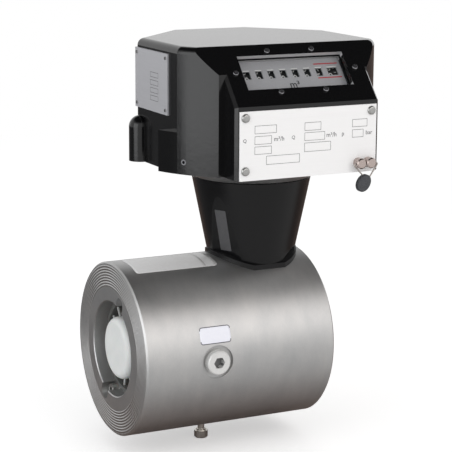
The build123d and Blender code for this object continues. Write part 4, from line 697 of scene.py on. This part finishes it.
label_white = paper("label_white", (0.84, 0.85, 0.94), (0.90, 0.91, 0.97), rough=0.35)
label_film = paper("label_film", (0.60, 0.60, 0.60), (0.70, 0.70, 0.70), rough=0.25)
label_pale = paper("label_pale", (0.66, 0.66, 0.66), (0.76, 0.76, 0.76), rough=0.30)
label_dark = paper("label_dark_film", (0.055, 0.055, 0.058), (0.085, 0.085, 0.09), rough=0.3)
border = paper("label_border", (0.06, 0.06, 0.08), (0.11, 0.11, 0.13), rough=0.4)
print("papers made")

# %% Stickers on the body
SMALL_MIDDLE = (43.25, BODY_R * radians(90 - 72.35))
SMALL_SIZE, SMALL_CORNER, SMALL_BORDER = (19.2, 10.0), 1.6, 0.50
SHEET_LIFT, BORDER_LIFT = 0.06, 0.085
label_sheet("tapping_label", on_body, SMALL_MIDDLE, SMALL_SIZE, SMALL_CORNER, SHEET_LIFT, "meter", label_white)
line_frame("tapping_label_border", on_body, SMALL_MIDDLE, SMALL_SIZE, SMALL_BORDER, SMALL_CORNER, BORDER_LIFT,
           "meter", border)
TOP_UP = BODY_R * radians(90 - 7.0)
FILM_X, FILM_SIZE, FILM_CORNER, FILM_LIFT = 34.2, (51.6, 24.0), 2.5, 0.04
PALE_X, PALE_SIZE, PALE_CORNER, PALE_LIFT = 30.6, (44.4, 24.0), 2.0, 0.07
label_sheet("top_film", on_body, (FILM_X, TOP_UP), FILM_SIZE, FILM_CORNER, FILM_LIFT, "meter", label_film)
label_sheet("top_label", on_body, (PALE_X, TOP_UP), PALE_SIZE, PALE_CORNER, PALE_LIFT, "meter", label_pale)
print("small label at", round(SMALL_MIDDLE[1], 1), "mm of arc, top label at", round(TOP_UP, 1))

# %% The neck's upright label
FACET_TURN = radians(208.0)
FACET_SLOPE = 0.26
FACET_TOP_Z = 88.0
NECK_TOP_Z, NECK_TOP_R, NECK_TAPER = 97.0, 35.45, 0.2033
FACET_REACH = NECK_TOP_R - NECK_TAPER * (NECK_TOP_Z - FACET_TOP_Z)
NECK_LABEL_Z, NECK_LABEL_SIZE, NECK_LABEL_CORNER, NECK_LABEL_LIFT = 67.0, (7.6, 25.0), 0.4, 0.08


def on_neck_flat(right, up, lift):
    """The flat leans inwards as it goes down. Right runs along the flat, up is the height."""
    out = np.array([cos(FACET_TURN), sin(FACET_TURN), 0.0])
    side = np.array([-sin(FACET_TURN), cos(FACET_TURN), 0.0])
    reach = FACET_REACH - FACET_SLOPE * (FACET_TOP_Z - up) + lift * sqrt(1 + FACET_SLOPE ** 2)
    points = reach[..., None] * out + right[..., None] * side
    points[..., 2] = up
    points[..., 0] += NECK_X
    return points


label_sheet("neck_label", on_neck_flat, (0.0, NECK_LABEL_Z), NECK_LABEL_SIZE, NECK_LABEL_CORNER,
            NECK_LABEL_LIFT, "meter", label_dark)
print("the neck's flat reaches", round(FACET_REACH, 2), "mm at its top")

# %% [markdown]
# Each roller carries the digits 0 to 9 around its rim. A flat digit is rolled onto the rim: its height
# becomes an angle, its thickness a radius. Digits ride on their own roller, so that they turn with it. They
# run downwards, because the rim moves up past the window as gas flows.

# %% Where the rollers stand
FIRST_ROLLER, ROLLER_PITCH, LAST_ROLLER = -28.1, 7.62, 26.3
LAST = 7
ROLLER_XS = [NECK_X + FIRST_ROLLER + ROLLER_PITCH * k for k in range(LAST)] + [NECK_X + LAST_ROLLER]
WINDOW_TURN = atan2(cos(SLOPE), -sin(SLOPE))
print("rollers at", [round(x, 1) for x in ROLLER_XS])

# %% The ten digits
DIGIT_H = 4.1
DIGITS = [flat_text(str(d), DIGIT_H) for d in range(10)]


def rolled(points, x, turn, reach, narrow):
    """Carries flat points onto the rim: right along the axle, up as an angle that grows towards the top."""
    angle = turn - points[:, 1] / reach
    return np.stack([x + points[:, 0] * narrow, AXIS_Y + reach * np.cos(angle), AXIS_Z + reach * np.sin(angle)],
                    axis=-1)


# %% Printed rims
digit_white = paper("digit_white", (0.70, 0.71, 0.70), (0.80, 0.81, 0.80), rough=0.4)
SHOWN = [0, 0, 0, 0, 0, 0, 5, 9]
LOW_SHIFT, LAST_SHIFT = 2.3, -1.1
DIGIT_NARROW = 0.95
DIGIT_REACH = ROLLER_R + 0.03
TICKS = 20
TICK = np.array([[1.4, -0.12, 0], [2.9, -0.12, 0], [2.9, 0.12, 0], [1.4, 0.12, 0]])
for k, x in enumerate(ROLLER_XS):
    stacked, faces = [], []
    for d, (points, polygons) in enumerate(DIGITS):
        turn = WINDOW_TURN + (d - SHOWN[k]) * 2 * pi / 10 + LOW_SHIFT / ROLLER_R
        start = sum(len(p) for p in stacked)
        shift = LAST_SHIFT if k == LAST else 0.0
        stacked.append(rolled(points, x + shift, turn, DIGIT_REACH, DIGIT_NARROW))
        faces += [tuple(start + i for i in polygon) for polygon in polygons]
    if k == LAST:
        for tick in range(TICKS):
            turn = WINDOW_TURN + tick * 2 * pi / TICKS
            start = sum(len(p) for p in stacked)
            stacked.append(rolled(TICK, x, turn, DIGIT_REACH, 1.0))
            faces.append(tuple(start + i for i in range(4)))
    mesh_piece(f"digits_{k + 1}", np.concatenate(stacked), faces, f"number_{k + 1}", digit_white)
print("rims printed:", len(ROLLER_XS))

# %% [markdown]
# The dial under the glass has a red line above and below the last two rollers, which count parts of a unit,
# and the unit itself below the row. The upper edge of each opening is bent and catches the light, which a
# pale bar draws. The place function for all of them uses the slope's own frame.

# %% Prints on the dial
def on_dial(right, up, lift):
    """Right and up on the dial, whose face lies below the window's plane."""
    points = START + up[..., None] * UP_WAY + (lift - DIAL_DEPTH) * OUT_WAY
    points[..., 0] = NECK_X + right
    return points


red = paper("red_line", (0.46, 0.035, 0.05), (0.60, 0.06, 0.075), rough=0.4)
black_print = paper("black_print", (0.02, 0.02, 0.02), (0.04, 0.04, 0.04), rough=0.4)


def bar(name, middle, size, lift, finish):
    """A printed bar on the dial, as a two by two grid."""
    right = np.array([[-1, 1], [-1, 1]]) * size[0] / 2 + middle[0]
    up = np.array([[-1, -1], [1, 1]]) * size[1] / 2 + middle[1]
    mesh_piece(name, on_dial(right, up, lift), grid_faces(2, 2), "head", finish)


# %% Lines, lips and the unit
DIAL_PRINT_LIFT, LIP_LIFT = 0.03, 0.04
RED_X, RED_TOP_T, RED_LOW_T, RED_SIZE = 23.3, 29.6, 20.2, (15.4, 0.75)
OPENING_T, OPENING_HALF = 24.2, 2.6
LIP_W, LAST_LIP_W, LIP_H = 4.0, 6.4, 0.7
LIP_T = OPENING_T + OPENING_HALF + LIP_H / 2
UNIT_H, UNIT_WEIGHT, UNIT_X, UNIT_T = 4.4, 0.012, -0.5, 16.9
bar("red_line_top", (RED_X, RED_TOP_T), RED_SIZE, DIAL_PRINT_LIFT, red)
bar("red_line_low", (RED_X, RED_LOW_T), RED_SIZE, DIAL_PRINT_LIFT, red)
for k, x in enumerate(ROLLER_XS):
    lip_w = LAST_LIP_W if k == LAST else LIP_W
    bar(f"opening_lip_{k + 1}", (x - NECK_X, LIP_T), (lip_w, LIP_H), LIP_LIFT, digit_white)
unit_points, unit_faces = flat_text("m³", UNIT_H, UNIT_WEIGHT)
unit_place = on_dial(unit_points[:, 0] + UNIT_X, unit_points[:, 1] + UNIT_T, DIAL_PRINT_LIFT)
mesh_piece("unit_print", unit_place, unit_faces, "head", black_print)
print("dial printed")

# %% [markdown]
# The studio is a white room with a dark ceiling. The camera sees the floor and the walls as plain white,
# strength 1, and so do mirrors and clear glass: rays from the camera, through glass and off a mirror get
# that white. Overhead the mirrors find the dark ceiling, and under the meter and behind it a mat, brown on
# the right and grey on the left, which is why the black paint looks black and the steel turns brown below.
# Nothing of the white lights the object: rays that light it find the floor's own pale colour and an even
# world of a lower level. Near the meter the floor glows less, and the light that falls on it makes up the
# rest, so that it keeps the object's shadow.

# %% Floor
FLOOR_HALF, FLOOR_GAP = 3.0, 0.0002
FLOOR_TONE = 0.8
NEAR_GLOW = 0.42
NEAR_R, FAR_R = 0.6, 1.2
MAT_TONE = tone(0.22, 0.165, 0.145)
LEFT_MAT_TONE = tone(0.165, 0.165, 0.168)
LEFT_FROM, LEFT_TO = -0.10, -0.02
MAT_FROM, MAT_FADE = -0.11, 0.09
floor_z = cad_box[0][2] - FLOOR_GAP
floor_mesh = bpy.data.meshes.new("floor")
floor_corners = [(sx * FLOOR_HALF, sy * FLOOR_HALF, floor_z) for sx, sy in ((-1, -1), (1, -1), (1, 1), (-1, 1))]
floor_mesh.from_pydata(floor_corners, [], [(0, 1, 2, 3)])
floor = bpy.data.objects.new("floor", floor_mesh)
bpy.context.scene.collection.objects.link(floor)
print("floor at", round(floor_z / MM, 1), "mm")


# %% Which rays see the white
def seen_rays(recipe):
    """1 for rays from the camera and through glass, and 1 for rays off a mirror, as two numbers."""
    rays = recipe.node("ShaderNodeLightPath", out="Is Camera Ray")
    through, mirrored = rays.beside("Is Transmission Ray", "Is Glossy Ray")
    direct = rays.math("MAXIMUM", through)
    return direct, mirrored * (1 - direct)


# %% The floor's finish
pale = Finish("pale_floor", roughness=0.9, specular_ior_level=0.0, emission_strength=1.0)
x, y, z = pale.place()
direct, mirrored = seen_rays(pale)
far = pale.steps((x * x + y * y).root(), NEAR_R, FAR_R)
mat = mirrored * pale.steps(y, MAT_FROM, MAT_FROM + MAT_FADE)
glow = direct * pale.steps(far, 0.0, 1.0, NEAR_GLOW, 1.0) + mirrored * far * (1 - mat)
own = FLOOR_TONE * (1 - far * (direct + mirrored))
mat_tone = pale.blend(pale.steps(x, LEFT_FROM, LEFT_TO), LEFT_MAT_TONE, MAT_TONE)
own_grey = pale.node("ShaderNodeCombineColor", inputs=[own, own, own])
glow_grey = pale.node("ShaderNodeCombineColor", inputs=[glow, glow, glow])
pale.colour(pale.blend(mat, own_grey, mat_tone))
pale.fill(pale.shader.inputs["Emission Color"], glow_grey)
floor_mesh.materials.append(pale.material)
print("floor dressed in", pale.material.name)

# %% World
EVEN_LEVEL = 0.72
CEILING_LEVEL = 0.04
CEILING_FROM, CEILING_TO = sin(radians(32)), sin(radians(48))
world = bpy.data.worlds.new("studio")
bpy.context.scene.world = world
world.use_nodes = True
studio = Recipe(world.node_tree)
sky = next(n for n in world.node_tree.nodes if n.type == "BACKGROUND")
height = studio.place("Generated")[2]
direct, mirrored = seen_rays(studio)
ceiling = studio.steps(height, CEILING_FROM, CEILING_TO, 1.0, CEILING_LEVEL)
studio.fill(sky.inputs["Strength"], direct + mirrored * ceiling + (1 - direct - mirrored) * EVEN_LEVEL)
studio.fill(sky.inputs["Color"], tone(1.0, 1.0, 1.0))
print("world levels:", EVEN_LEVEL, CEILING_LEVEL)

# %% [markdown]
# Two large lamps do the rest. A lamp's level is about the brightness that a mirror of it shows, where 1 is
# white: Blender wants watts, which are that level times pi times the lamp's area. The warm one in front
# draws the broad band along the steel, and the one on the left the soft greys of the head's left side. They
# are hidden from the camera, because other views look from where they stand.

# %% Lamps
def soft_lamp(name, place, target, size, level, colour):
    """A square area lamp at a place, turned to a target, as bright as its level."""
    lamp = bpy.data.lights.new(name, "AREA")
    lamp.size = size
    lamp.energy = level * pi * size ** 2
    lamp.color = colour
    holder = bpy.data.objects.new(name, lamp)
    way = Vector(target) - Vector(place)
    holder.matrix_world = Matrix.Translation(place) @ way.to_track_quat("-Z", "Y").to_matrix().to_4x4()
    holder.visible_camera = False
    bpy.context.scene.collection.objects.link(holder)


soft_lamp("front_lamp", place=(0.55, -1.15, 0.74), target=(0.06, 0.0, 0.05), size=1.05, level=1.25,
          colour=(1.0, 0.94, 0.905))
soft_lamp("left_lamp", place=(-0.85, -0.28, 0.25), target=(0.06, 0.0, 0.08), size=0.75, level=1.75,
          colour=(0.97, 0.985, 1.0))
bpy.context.scene.view_settings.view_transform = "Standard"
print("lamps:", len(bpy.data.lights))

# %% The end
print("scene built")
